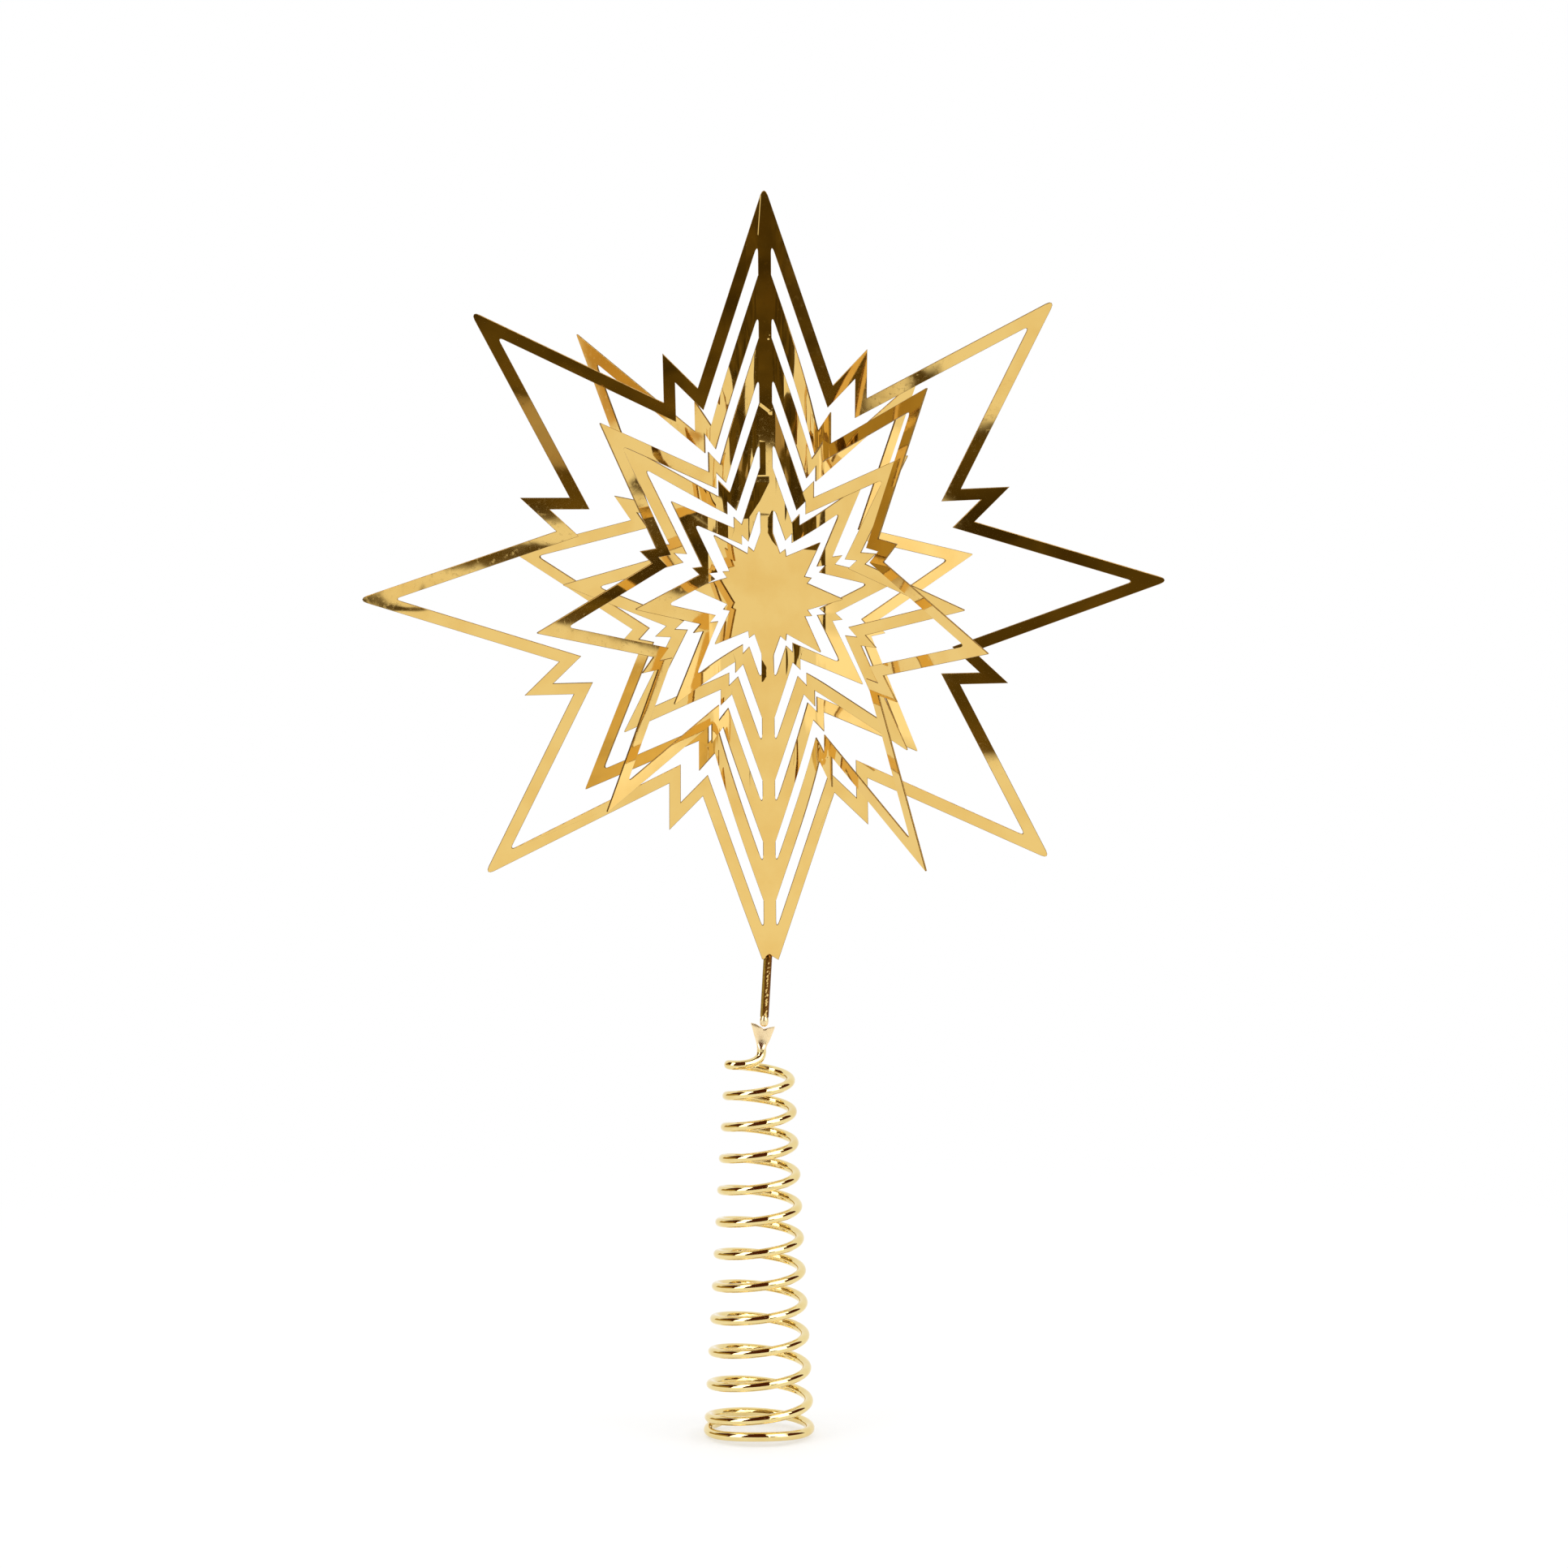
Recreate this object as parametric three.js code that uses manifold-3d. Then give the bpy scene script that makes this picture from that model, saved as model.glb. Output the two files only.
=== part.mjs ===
// Tree topper: nested eight-pointed stars cut from one thin gold sheet, their half rings folded out
// to either side of an upright spine, on a short stem over a conical coil of round wire.
// Millimetres, +Z up, front towards -Y. The origin is the middle of the coil's mouth, where the
// tree's leading shoot goes in.
import * as THREE from 'three';
import { mergeVertices } from 'three/addons/utils/BufferGeometryUtils.js';
import Module from 'manifold-3d';

const wasm = await Module();
wasm.setup();

// Driving dimensions
const sheetThickness = 0.45;
const pointHalfAngle = 18.4;       // degrees, every long point of every ring
const spikeHalfAngle = 21.8;       // degrees, the short spikes between the long points
const spineHalfWidth = 1.4;
const barWidth = 2.65;             // every ring's strip of sheet, along its long points
const hingeGap = 0.3;              // between the spine's edge and the root of a folded half ring
const foldWidth = 11.8;            // a half ring bends away gradually over this much of the sheet
const foldFacets = 4;
const tipSteps = [-1, -0.5, 0, 0.5, 1];     // shares of a round tip's sweep
const frameFoldFacets = 2;

// sharp radii of each star: its long points, its spikes, and the spikes of its cut-out;
// folds in degrees, positive towards the viewer
const outerPoint = 90.1;
const outerSpike = 58.1;
const outerCutSpike = 51.2;
const outerTipRound = 0.85;
const outerFoldLeft = -2;
const outerFoldRight = -3;
const secondPoint = 74.7;
const secondSpike = 45.4;
const secondCutSpike = 37.9;
const secondFoldLeft = -45;
const secondFoldRight = 59.6;
const thirdPoint = 61.0;
const thirdSpike = 35.4;
const thirdCutSpike = 30.1;
const thirdFoldLeft = 36;
const thirdFoldRight = -39.7;
const fourthPoint = 46.8;
const fourthSpike = 27.5;
const fourthCutSpike = 22.4;
const fourthFoldLeft = -19;
const fourthFoldRight = 30.1;
const fifthPoint = 32.4;
const fifthSpike = 19.05;
const fifthCutSpike = 14.4;
const fifthFoldLeft = 28.7;
const fifthFoldRight = -24.9;
const innerTipRound = 0.15;        // the long points of the four inner stars
const cutTipRound = 0.4;           // the ends of every cut-out in the long points

const centrePoint = 17.7;
const centreSpike = 11.2;
const centrePointHalfAngle = 19.9;
const centreSpikeHalfAngle = 29.8;
const centreTurn = 22.8;           // degrees, the right side is turned towards the viewer
const neckRoot = 1.9;              // from the centre star's point out to where its neck starts to twist
const neckReach = 4.1;             // from the point in to where the neck has its full twist
const neckFacets = 3;

// the star's foot: heights above the outer star's sharp bottom point
const bladeProng = 5.6;            // the short prong right of the tab ends here, on the point's edge
const bladeShoulder = 6.6;
const bladeTabFoot = 3.9;
const bladeTabWidth = 1.0;
const bladeNotchWidth = 0.7;       // between the tab and the prong

// how the star stands on its stem
const starPitch = 10.6;            // degrees, the top leans towards the viewer
const starLean = 0.4;              // degrees, the top leans to the left
const starYaw = 3.85;              // degrees, the right side is turned away
const starSeat = 0.5;              // from the stem's end up to the blade's shoulder
const tabForward = 0.1;            // the tab lies this far in front of the stem's axis

// the stem: a tube rolled over the star's tab
const stemLength = 13.35;
const stemLean = 3.3;              // degrees, the top leans to the right
const stemPitch = 3.65;            // degrees, the top leans towards the viewer
const stemOuter = 1.0;
const stemBore = 0.74;
const seamHalfAngle = 9;           // degrees, the open seam where the rolled edges meet
const seamDirection = -128;        // degrees from +X, towards the viewer's left
const beadRadius = 1.0;
const beadLength = 2.15;           // from the tube's end to the bottom of the round
const beadPlug = 0.6;
const beadPlugLength = 2.2;
const beadSeat = 0.65;             // from the clip's notch up to the bead
const beadOffset = 0.65;           // the stem's foot stands this far right of the clip's middle
const beadForward = 0.2;           // and this far in front of it

// the fishtail clip between the stem and the coil
const clipThickness = 0.8;
const clipLean = 2.5;              // degrees
const clipWaist = 2.2;             // height at which the two prongs start to spread
const clipWaistHalf = 1.2;
const clipNotch = 4.5;
const rightProng = { spread: 2.5, height: 5.05, inside: 1.2, drop: 0.25 };
const leftProng = { spread: 2.7, height: 5.75, inside: 1.3, drop: 0.75 };
const clipNeckRadius = 1.0;
const clipNeckShoulder = 0.9;      // height at which the neck starts to narrow into the blade
const clipNeckTop = 2.85;
const clipBladeFoot = 0.6;         // the blade starts this far up the neck
const clipSink = 0.02;             // and lies this far inside it there
const seatGap = 0.3;               // between the coil's riser and the clip's foot

// the coil
const wireRadius = 1.06;
const coilTurns = 11;              // open turns, then one closed turn at the mouth
const coilLength = 80.68;          // wire's middle, from the start of the first turn to the last open one
const coilPitchGrowth = 0.04;      // how far the pitch is under its mean at the top and over it below
const topRadius = 6.85;
const mouthRadius = 11.4;
const closedTurns = 1.1;
const closedPitch = 2.6;
const closedWidening = 0.2;
const stepsPerTurn = 24;
const bendReach = 0.4;             // turns along the wire within which two places count as one bend
const wireSides = 6;
const riserRise = 3.5;             // from the first turn's start up to the riser's end
const riserOffset = 0.55;          // the riser stands this far right of the coil's axis
const riserForward = 0.1;          // and this far in front of it
const riserStraight = 2 * wireRadius;
const hookSteps = 12;
const hookBend = new THREE.Vector3(-0.1, -0.6, -1.9);     // pull of the curve under the riser
const hookSweep = new THREE.Vector3(0.6, -4.2, 0.5);      // pull of the curve into the first turn

// What follows from them
const outerStar = { point: outerPoint, spike: outerSpike, cutSpike: outerCutSpike,
  foldLeft: outerFoldLeft, foldRight: outerFoldRight };
const rings = [
  { name: 'ring2', point: secondPoint, spike: secondSpike, cutSpike: secondCutSpike,
    foldLeft: secondFoldLeft, foldRight: secondFoldRight },
  { name: 'ring3', point: thirdPoint, spike: thirdSpike, cutSpike: thirdCutSpike,
    foldLeft: thirdFoldLeft, foldRight: thirdFoldRight },
  { name: 'ring4', point: fourthPoint, spike: fourthSpike, cutSpike: fourthCutSpike,
    foldLeft: fourthFoldLeft, foldRight: fourthFoldRight },
  { name: 'ring5', point: fifthPoint, spike: fifthSpike, cutSpike: fifthCutSpike,
    foldLeft: fifthFoldLeft, foldRight: fifthFoldRight },
];
const neckEnd = centrePoint + neckRoot;
const neckShoulder = centrePoint - neckReach;
const coilMouth = wireRadius + closedTurns * closedPitch;     // height of the last open turn's end
const coilTop = coilMouth + coilLength;
const riserTop = new THREE.Vector3(riserOffset, -riserForward, coilTop + riserRise);
const clipFoot = riserTop.clone().add(new THREE.Vector3(0, 0, seatGap));
const stemUp = new THREE.Vector3(Math.tan(THREE.MathUtils.degToRad(stemLean)),
  -Math.tan(THREE.MathUtils.degToRad(stemPitch)), 1).normalize();
const stemFoot = clipFoot.clone()
  .add(new THREE.Vector3(beadOffset, -beadForward, clipNotch + beadSeat + beadLength));

// Materials
const gold = (color, roughness) => new THREE.MeshStandardMaterial({ color, roughness, metalness: 1 });
const polished = () => gold(0xe4bf66, 0.12);
const drawnWire = () => gold(0xe9c878, 0.1);
const rolledSheet = () => gold(0xb98a34, 0.3);

// Helpers
const rad = THREE.MathUtils.degToRad;
const polar = (r, deg) => new THREE.Vector2(r * Math.sin(rad(deg)), r * Math.cos(rad(deg)));
const lerp = THREE.MathUtils.lerp;

function toSolid(geometry) {
  const g = geometry.index ? geometry.clone() : mergeVertices(geometry);
  g.deleteAttribute('normal');
  g.deleteAttribute('uv');
  const merged = mergeVertices(g, 1e-4);
  const vertProperties = new Float32Array(merged.attributes.position.array);
  const triVerts = new Uint32Array(merged.index.array);
  return new wasm.Manifold(new wasm.Mesh({ numProp: 3, vertProperties, triVerts }));
}

function toGeometry(solid) {
  const mesh = solid.getMesh();
  const g = new THREE.BufferGeometry();
  g.setAttribute('position', new THREE.BufferAttribute(new Float32Array(mesh.vertProperties), 3));
  g.setIndex(Array.from(mesh.triVerts));
  return g;
}

function part(name, geometry, material) {
  geometry.computeVertexNormals();
  const mesh = new THREE.Mesh(geometry, material);
  mesh.name = name;
  return mesh;
}

// Star outlines, laid flat: x across from the spine, y up
// Where the side of a long point meets the side of the spike next to it: radius and angle.
function valley(point, spike, pointAngle, spikeAngle) {
  const slope = Math.tan(rad(pointAngle));
  const tip = polar(spike, 22.5);
  const into = polar(-1, 22.5 + spikeAngle);
  const t = ((point - tip.y) * slope - tip.x) / (into.x + into.y * slope);
  const at = tip.addScaledVector(into, t);
  return { r: at.length(), deg: THREE.MathUtils.radToDeg(Math.atan2(at.x, at.y)) };
}

// The round end of a long point whose axis stands at deg.
function roundedPoint(point, deg, tipRound, pointAngle) {
  if (!tipRound) return [polar(point, deg)];
  const middle = polar(point - tipRound / Math.sin(rad(pointAngle)), deg);
  const sweep = 90 - pointAngle;
  return tipSteps.map((k) => middle.clone().add(polar(tipRound, deg + k * sweep)));
}

// Right half of a star's outline, from the top point's side down to the bottom point's side,
// without those two points themselves.
function halfOutline({ point, spike, pointAngle = pointHalfAngle, spikeAngle = spikeHalfAngle, tipRound = 0 }) {
  const v = valley(point, spike, pointAngle, spikeAngle);
  const points = [];
  for (let k = 0; k < 4; k++) {
    const axis = 45 * k;
    if (k > 0) points.push(...roundedPoint(point, axis, tipRound, pointAngle));
    points.push(polar(v.r, axis + v.deg), polar(spike, axis + 22.5), polar(v.r, axis + 45 - v.deg));
  }
  return points;
}

const innerPoint = (ring) => ring.point - barWidth / Math.sin(rad(pointHalfAngle));
const heightOnPoint = (point, across) => point - across / Math.tan(rad(pointHalfAngle));
const mirrored = (points) => points.map((p) => new THREE.Vector2(-p.x, p.y)).reverse();
const vec = (x, y) => new THREE.Vector2(x, y);

// The sheet's course seen from above: flat as far as start, then a bend of the given angle over
// width, as flat facets, then straight. Positive x and positive angles; front is +y.
function foldCourse(angle, start, width, facets) {
  const far = 2 * outerStar.point;
  const stations = [0, start];
  const turns = [0];
  for (let i = 1; i <= facets; i++) {
    stations.push(start + (width * i) / facets);
    turns.push((rad(angle) * (i - 0.5)) / facets);
  }
  stations.push(far);
  turns.push(rad(angle));
  const at = [new THREE.Vector2()];
  turns.forEach((turn, i) => {
    const run = stations[i + 1] - stations[i];
    at.push(vec(at[i].x + run * Math.cos(turn), at[i].y + run * Math.sin(turn)));
  });
  const offsets = stations.map((_, i) => {
    const before = turns[Math.max(i - 1, 0)];
    const after = turns[Math.min(i, turns.length - 1)];
    const middle = (before + after) / 2;
    const reach = sheetThickness / 2 / Math.cos((after - before) / 2);
    return vec(-Math.sin(middle) * reach, Math.cos(middle) * reach);
  });
  return { stations, at, offsets };
}

// Maps a flat point onto one face of the folded sheet, face +1 in front and -1 behind.
function folder(left, right) {
  return (x, y, face) => {
    const course = x < 0 ? left : right;
    const across = Math.abs(x);
    let i = 0;
    while (i < course.stations.length - 2 && across > course.stations[i + 1]) i++;
    const t = (across - course.stations[i]) / (course.stations[i + 1] - course.stations[i]);
    const base = course.at[i].clone().lerp(course.at[i + 1], t);
    const out = course.offsets[i].clone().lerp(course.offsets[i + 1], t);
    const placed = base.addScaledVector(out, face);
    return [Math.sign(x || 1) * placed.x, -placed.y, y];
  };
}

// Cuts a convex polygon along coordinate = level and gives the pieces on both sides.
function splitPolygon(polygon, coordinate, level) {
  const below = [];
  const above = [];
  polygon.forEach((p, i) => {
    const q = polygon[(i + 1) % polygon.length];
    const dp = p[coordinate] - level;
    const dq = q[coordinate] - level;
    if (dp <= 0) below.push(p);
    if (dp >= 0) above.push(p);
    if (dp * dq < 0) {
      const cut = p.clone().lerp(q, dp / (dp - dq));
      cut[coordinate] = level;
      below.push(cut);
      above.push(cut);
    }
  });
  return [below, above].filter((piece) => piece.length > 2);
}

function splitAll(polygons, coordinate, levels) {
  return levels.reduce((list, level) => list.flatMap((p) => splitPolygon(p, coordinate, level)), polygons);
}

// A closed plate from a flat outline with holes, creased along the given levels and mapped by place.
function plate(outline, holes, creases, place) {
  const loops = [outline, ...holes].map((loop, i) => {
    const clockwise = THREE.ShapeUtils.isClockWise(loop);
    return clockwise === (i > 0) ? loop : loop.slice().reverse();
  });
  const all = loops.flat();
  const faces = THREE.ShapeUtils.triangulateShape(loops[0], loops.slice(1)).map((f) => f.map((i) => all[i]));
  const positions = [];
  const triangle = (a, b, c) => positions.push(...a, ...b, ...c);
  let pieces = faces;
  for (const [coordinate, levels] of creases) pieces = splitAll(pieces, coordinate, levels);
  for (const piece of pieces) {
    const flip = THREE.ShapeUtils.isClockWise(piece);
    const ring = flip ? piece.slice().reverse() : piece;
    for (let i = 1; i < ring.length - 1; i++) {
      const [p, q, r] = [ring[0], ring[i], ring[i + 1]];
      triangle(place(p.x, p.y, 1), place(q.x, q.y, 1), place(r.x, r.y, 1));
      triangle(place(r.x, r.y, -1), place(q.x, q.y, -1), place(p.x, p.y, -1));
    }
  }
  for (const loop of loops) {
    loop.forEach((p, i) => {
      const edge = edgePoints(p, loop[(i + 1) % loop.length], creases);
      for (let k = 0; k < edge.length - 1; k++) {
        const [a, b] = [edge[k], edge[k + 1]];
        const [af, ab] = [place(a.x, a.y, 1), place(a.x, a.y, -1)];
        const [bf, bb] = [place(b.x, b.y, 1), place(b.x, b.y, -1)];
        triangle(af, ab, bb);
        triangle(af, bb, bf);
      }
    });
  }
  const geometry = new THREE.BufferGeometry();
  geometry.setAttribute('position', new THREE.Float32BufferAttribute(positions, 3));
  return mergeVertices(geometry, 1e-4);
}

// The ends of an edge with the places where the creases cross it, in order.
function edgePoints(p, q, creases) {
  const cuts = [];
  for (const [coordinate, levels] of creases) {
    for (const level of levels) {
      const dp = p[coordinate] - level;
      const dq = q[coordinate] - level;
      if (dp * dq < 0) cuts.push({ t: dp / (dp - dq), coordinate, level });
    }
  }
  cuts.sort((a, b) => a.t - b.t);
  return [p, ...cuts.map((c) => {
    const at = p.clone().lerp(q, c.t);
    at[c.coordinate] = c.level;
    return at;
  }), q];
}

const foldStart = spineHalfWidth + hingeGap;
const creaseLevels = (course) => course.stations.slice(1, -1);

// The outer star and the spine strips that carry the half rings.
function starFrame() {
  const { point, spike, cutSpike } = outerStar;
  const half = halfOutline({ point, spike, tipRound: outerTipRound });
  const top = roundedPoint(point, 0, outerTipRound, pointHalfAngle);
  const slope = Math.tan(rad(pointHalfAngle));
  const shoulder = bladeShoulder - point;
  const tabFoot = bladeTabFoot - point;
  const foot = [vec(bladeProng * slope, bladeProng - point), vec(bladeNotchWidth, shoulder),
    vec(0, shoulder), vec(0, tabFoot), vec(-bladeTabWidth, tabFoot), vec(-bladeTabWidth, shoulder),
    vec(-bladeShoulder * slope, shoulder)];
  const outline = [...top.slice(2), ...half, ...foot, ...mirrored(half), ...top.slice(0, 2)];

  const inner = innerPoint(outerStar);
  const innerHalf = halfOutline({ point: inner, spike: cutSpike, tipRound: cutTipRound });
  const corner = heightOnPoint(inner, spineHalfWidth);
  const s = spineHalfWidth;
  const stripEnd = neckEnd + hingeGap;
  const window = [vec(s, corner), ...innerHalf, vec(s, -corner), vec(s, -stripEnd), vec(-s, -stripEnd),
    vec(-s, -corner), ...mirrored(innerHalf), vec(-s, corner), vec(-s, stripEnd), vec(s, stripEnd)];

  const left = foldCourse(outerStar.foldLeft, foldStart, foldWidth, frameFoldFacets);
  const right = foldCourse(outerStar.foldRight, foldStart, foldWidth, frameFoldFacets);
  const levels = creaseLevels(right);
  const creases = [['x', [...levels.map((v) => -v), ...levels]]];
  return part('star_frame', plate(outline, [window], creases, folder(left, right)), polished());
}

// One half of a ring, side +1 to the right and -1 to the left, folded as photographed.
function halfRing(ring, side) {
  const outer = halfOutline({ point: ring.point, spike: ring.spike, tipRound: innerTipRound });
  const inner = halfOutline({ point: innerPoint(ring), spike: ring.cutSpike, tipRound: cutTipRound });
  const outerTop = heightOnPoint(ring.point, foldStart);
  const innerTop = heightOnPoint(innerPoint(ring), foldStart);
  const outline = [vec(foldStart, outerTop), ...outer, vec(foldStart, -outerTop),
    vec(foldStart, -innerTop), ...inner.slice().reverse(), vec(foldStart, innerTop)];
  const angle = side < 0 ? ring.foldLeft : ring.foldRight;
  const course = foldCourse(angle, foldStart, foldWidth, foldFacets);
  const points = side < 0 ? mirrored(outline) : outline;
  const creases = [['x', creaseLevels(course).slice(1).map((v) => side * v)]];
  const name = ring.name + (side < 0 ? '_left' : '_right');
  return part(name, plate(points, [], creases, folder(course, course)), polished());
}

// The solid star in the middle, turned about the spine on two twisted necks.
function middleStar() {
  const half = halfOutline({ point: centrePoint, spike: centreSpike, pointAngle: centrePointHalfAngle,
    spikeAngle: centreSpikeHalfAngle, tipRound: innerTipRound });
  const shoulder = centrePoint - spineHalfWidth / Math.tan(rad(centrePointHalfAngle));
  const side = [vec(spineHalfWidth, neckEnd), vec(spineHalfWidth, shoulder), ...half,
    vec(spineHalfWidth, -shoulder), vec(spineHalfWidth, -neckEnd)];
  const levels = [];
  for (let i = 0; i < neckFacets; i++) levels.push(lerp(neckEnd, neckShoulder, (i + 1) / neckFacets));
  const creases = [['y', [...levels, ...levels.map((v) => -v)]]];
  const place = (x, y, face) => {
    const share = THREE.MathUtils.clamp((neckEnd - Math.abs(y)) / (neckEnd - neckShoulder), 0, 1);
    const angle = rad(centreTurn) * share;
    const out = (face * sheetThickness) / 2;
    return [x * Math.cos(angle) - out * Math.sin(angle), -(x * Math.sin(angle) + out * Math.cos(angle)), y];
  };
  return part('centre_star', plate([...side, ...mirrored(side)], [], creases, place), polished());
}

// The star stands with the middle of its tab on the stem's axis, so its leans turn it about its foot.
function star() {
  const group = new THREE.Group();
  group.add(starFrame(), middleStar());
  for (const ring of rings) group.add(halfRing(ring, -1), halfRing(ring, 1));
  group.rotation.set(rad(starPitch), rad(-starLean), rad(starYaw));
  const foot = new THREE.Vector3(-bladeTabWidth / 2, tabForward, bladeShoulder - outerPoint);
  group.position.copy(stemFoot).addScaledVector(stemUp, stemLength + starSeat)
    .sub(foot.applyEuler(group.rotation));
  return group;
}

// The stem's own frame: up along the tube, its foot at the origin.
function stem() {
  const group = new THREE.Group();
  group.add(stemTube(), solderBead());
  group.position.copy(stemFoot);
  group.quaternion.setFromUnitVectors(new THREE.Vector3(0, 0, 1), stemUp);
  return group;
}

function stemTube() {
  const from = rad(seamDirection + seamHalfAngle);
  const to = rad(seamDirection - seamHalfAngle + 360);
  const shape = new THREE.Shape();
  shape.absarc(0, 0, stemOuter, from, to, false);
  shape.absarc(0, 0, stemBore, to, from, true);
  const geometry = new THREE.ExtrudeGeometry(shape, { depth: stemLength, bevelEnabled: false, curveSegments: 20 });
  return part('stem_tube', toGeometry(toSolid(geometry)), rolledSheet());
}

// The bright round end under the tube, with its plug up the bore.
function solderBead() {
  const profile = [vec(0, beadPlugLength), vec(beadPlug, beadPlugLength), vec(beadPlug, -hingeGap),
    vec(beadRadius, -hingeGap)];
  for (let i = 0; i < 5; i++) {
    const angle = rad(-18 * i);
    profile.push(vec(beadRadius * Math.cos(angle), beadRadius * (1 + Math.sin(angle)) - beadLength));
  }
  profile.push(vec(0, -beadLength));
  const geometry = new THREE.LatheGeometry(profile.reverse(), 18);
  geometry.rotateX(Math.PI / 2);
  return part('solder_bead', toGeometry(toSolid(geometry)), drawnWire());
}

// One prong's side of the clip's outline, from the foot up and in; side +1 is the right.
function prongSide(prong, side) {
  return [[clipNeckRadius - clipSink, clipBladeFoot], [clipWaistHalf, clipWaist], [prong.spread, prong.height],
    [prong.inside, prong.height - prong.drop]].map(([x, y]) => vec(side * x, y));
}

function fishtailClip() {
  const outline = [...prongSide(rightProng, 1), vec(0, clipNotch), ...prongSide(leftProng, -1).reverse()];
  const blade = new THREE.ExtrudeGeometry(new THREE.Shape(outline),
    { depth: clipThickness, bevelEnabled: false });
  blade.translate(0, 0, -clipThickness / 2);
  blade.rotateX(Math.PI / 2);
  const neck = new THREE.LatheGeometry([vec(0, 0), vec(clipNeckRadius, 0),
    vec(clipNeckRadius, clipNeckShoulder), vec(clipThickness / 2, clipNeckTop),
    vec(0, clipNeckTop)], 16);
  neck.rotateX(Math.PI / 2);
  const mesh = part('fishtail_clip', toGeometry(toSolid(blade).add(toSolid(neck))), polished());
  mesh.position.copy(clipFoot);
  mesh.rotation.y = rad(clipLean);
  return mesh;
}

// Wire middle after n turns below the first left-hand turn; right-handed, widening to the mouth.
function coilPoint(n) {
  const share = n / coilTurns;
  let height;
  let radius;
  if (n <= coilTurns) {
    const eased = share + coilPitchGrowth * (share * share - share);
    height = lerp(coilTop, coilMouth, eased);
    radius = lerp(topRadius, mouthRadius, share);
  } else {
    height = coilMouth - closedPitch * (n - coilTurns);
    radius = mouthRadius + closedWidening * (n - coilTurns);
  }
  const angle = Math.PI - 2 * Math.PI * n;
  return new THREE.Vector3(radius * Math.cos(angle), radius * Math.sin(angle), height);
}

function wirePath() {
  const start = coilPoint(0);
  const riserFoot = riserTop.clone().setZ(riserTop.z - riserStraight);
  const hook = new THREE.CubicBezierCurve3(riserFoot, riserFoot.clone().add(hookBend),
    start.clone().add(hookSweep), start);
  const points = [riserTop.clone(), riserTop.clone().lerp(riserFoot, 0.5)];
  for (let i = 0; i < hookSteps; i++) points.push(hook.getPoint(i / hookSteps));
  const steps = Math.round((coilTurns + closedTurns) * stepsPerTurn);
  for (let i = 0; i <= steps; i++) points.push(coilPoint(i / stepsPerTurn));
  return points;
}

// Least clear distance between the wire and itself, past the reach of its own bend.
function leastGap(points) {
  const apart = Math.round(stepsPerTurn * bendReach);
  let least = Infinity;
  for (let i = 0; i < points.length; i++) {
    for (let k = i + apart; k < points.length; k++) least = Math.min(least, points[i].distanceTo(points[k]));
  }
  return least - 2 * wireRadius;
}

// One unbroken tube along the points, each section turned as little as the path allows.
function wireTube(points) {
  const tangent = (i) => points[Math.min(i + 1, points.length - 1)].clone()
    .sub(points[Math.max(i - 1, 0)]).normalize();
  let side = new THREE.Vector3(1, 0, 0);
  const positions = [];
  const index = [];
  points.forEach((p, i) => {
    const along = tangent(i);
    side = side.clone().addScaledVector(along, -side.dot(along)).normalize();
    const other = along.clone().cross(side);
    for (let k = 0; k < wireSides; k++) {
      const angle = (2 * Math.PI * k) / wireSides;
      const at = p.clone().addScaledVector(side, wireRadius * Math.cos(angle))
        .addScaledVector(other, wireRadius * Math.sin(angle));
      positions.push(at.x, at.y, at.z);
      if (i === 0) continue;
      const [a, b] = [(i - 1) * wireSides + k, (i - 1) * wireSides + ((k + 1) % wireSides)];
      index.push(a, b, a + wireSides, b, b + wireSides, a + wireSides);
    }
  });
  const last = (points.length - 1) * wireSides;
  for (let k = 1; k < wireSides - 1; k++) index.push(0, k + 1, k, last, last + k, last + k + 1);
  const geometry = new THREE.BufferGeometry();
  geometry.setAttribute('position', new THREE.Float32BufferAttribute(positions, 3));
  geometry.setIndex(index);
  return geometry;
}

function coil() {
  const points = wirePath();
  console.log(`coil wire: least gap to itself ${leastGap(points).toFixed(2)} mm`);
  return part('coil', wireTube(points), drawnWire());
}

const topper = new THREE.Group();
topper.add(star(), stem(), fishtailClip(), coil());

export default topper;
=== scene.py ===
import bpy, bmesh, math
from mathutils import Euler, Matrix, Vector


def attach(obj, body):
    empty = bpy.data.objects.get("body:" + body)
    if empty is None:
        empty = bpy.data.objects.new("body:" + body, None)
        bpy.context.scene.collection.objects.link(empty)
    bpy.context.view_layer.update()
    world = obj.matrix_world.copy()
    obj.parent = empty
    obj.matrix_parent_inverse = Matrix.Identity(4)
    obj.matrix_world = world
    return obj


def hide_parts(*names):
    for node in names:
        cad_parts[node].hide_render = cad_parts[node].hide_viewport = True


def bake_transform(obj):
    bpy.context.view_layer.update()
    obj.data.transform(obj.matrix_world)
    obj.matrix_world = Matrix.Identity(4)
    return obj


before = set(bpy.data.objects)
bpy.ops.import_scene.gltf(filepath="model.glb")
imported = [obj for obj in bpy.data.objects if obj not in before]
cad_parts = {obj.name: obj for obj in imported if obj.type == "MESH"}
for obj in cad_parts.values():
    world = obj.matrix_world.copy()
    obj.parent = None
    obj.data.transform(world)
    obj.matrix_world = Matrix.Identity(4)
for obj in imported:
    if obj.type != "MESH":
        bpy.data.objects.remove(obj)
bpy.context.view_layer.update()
mm = 0.001
rad = math.radians


def setMode(mode):
    bpy.ops.object.mode_set(mode=mode)


def selectMesh():
    bpy.ops.mesh.select_all(action="SELECT")


def deselectAll():
    if bpy.context.object and bpy.context.object.mode != "OBJECT":
        setMode("OBJECT")
    bpy.ops.object.select_all(action="DESELECT")


def use(*objs):
    deselectAll()
    for o in objs:
        o.select_set(True)
    bpy.context.view_layer.objects.active = objs[0]
    return objs[0]


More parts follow.
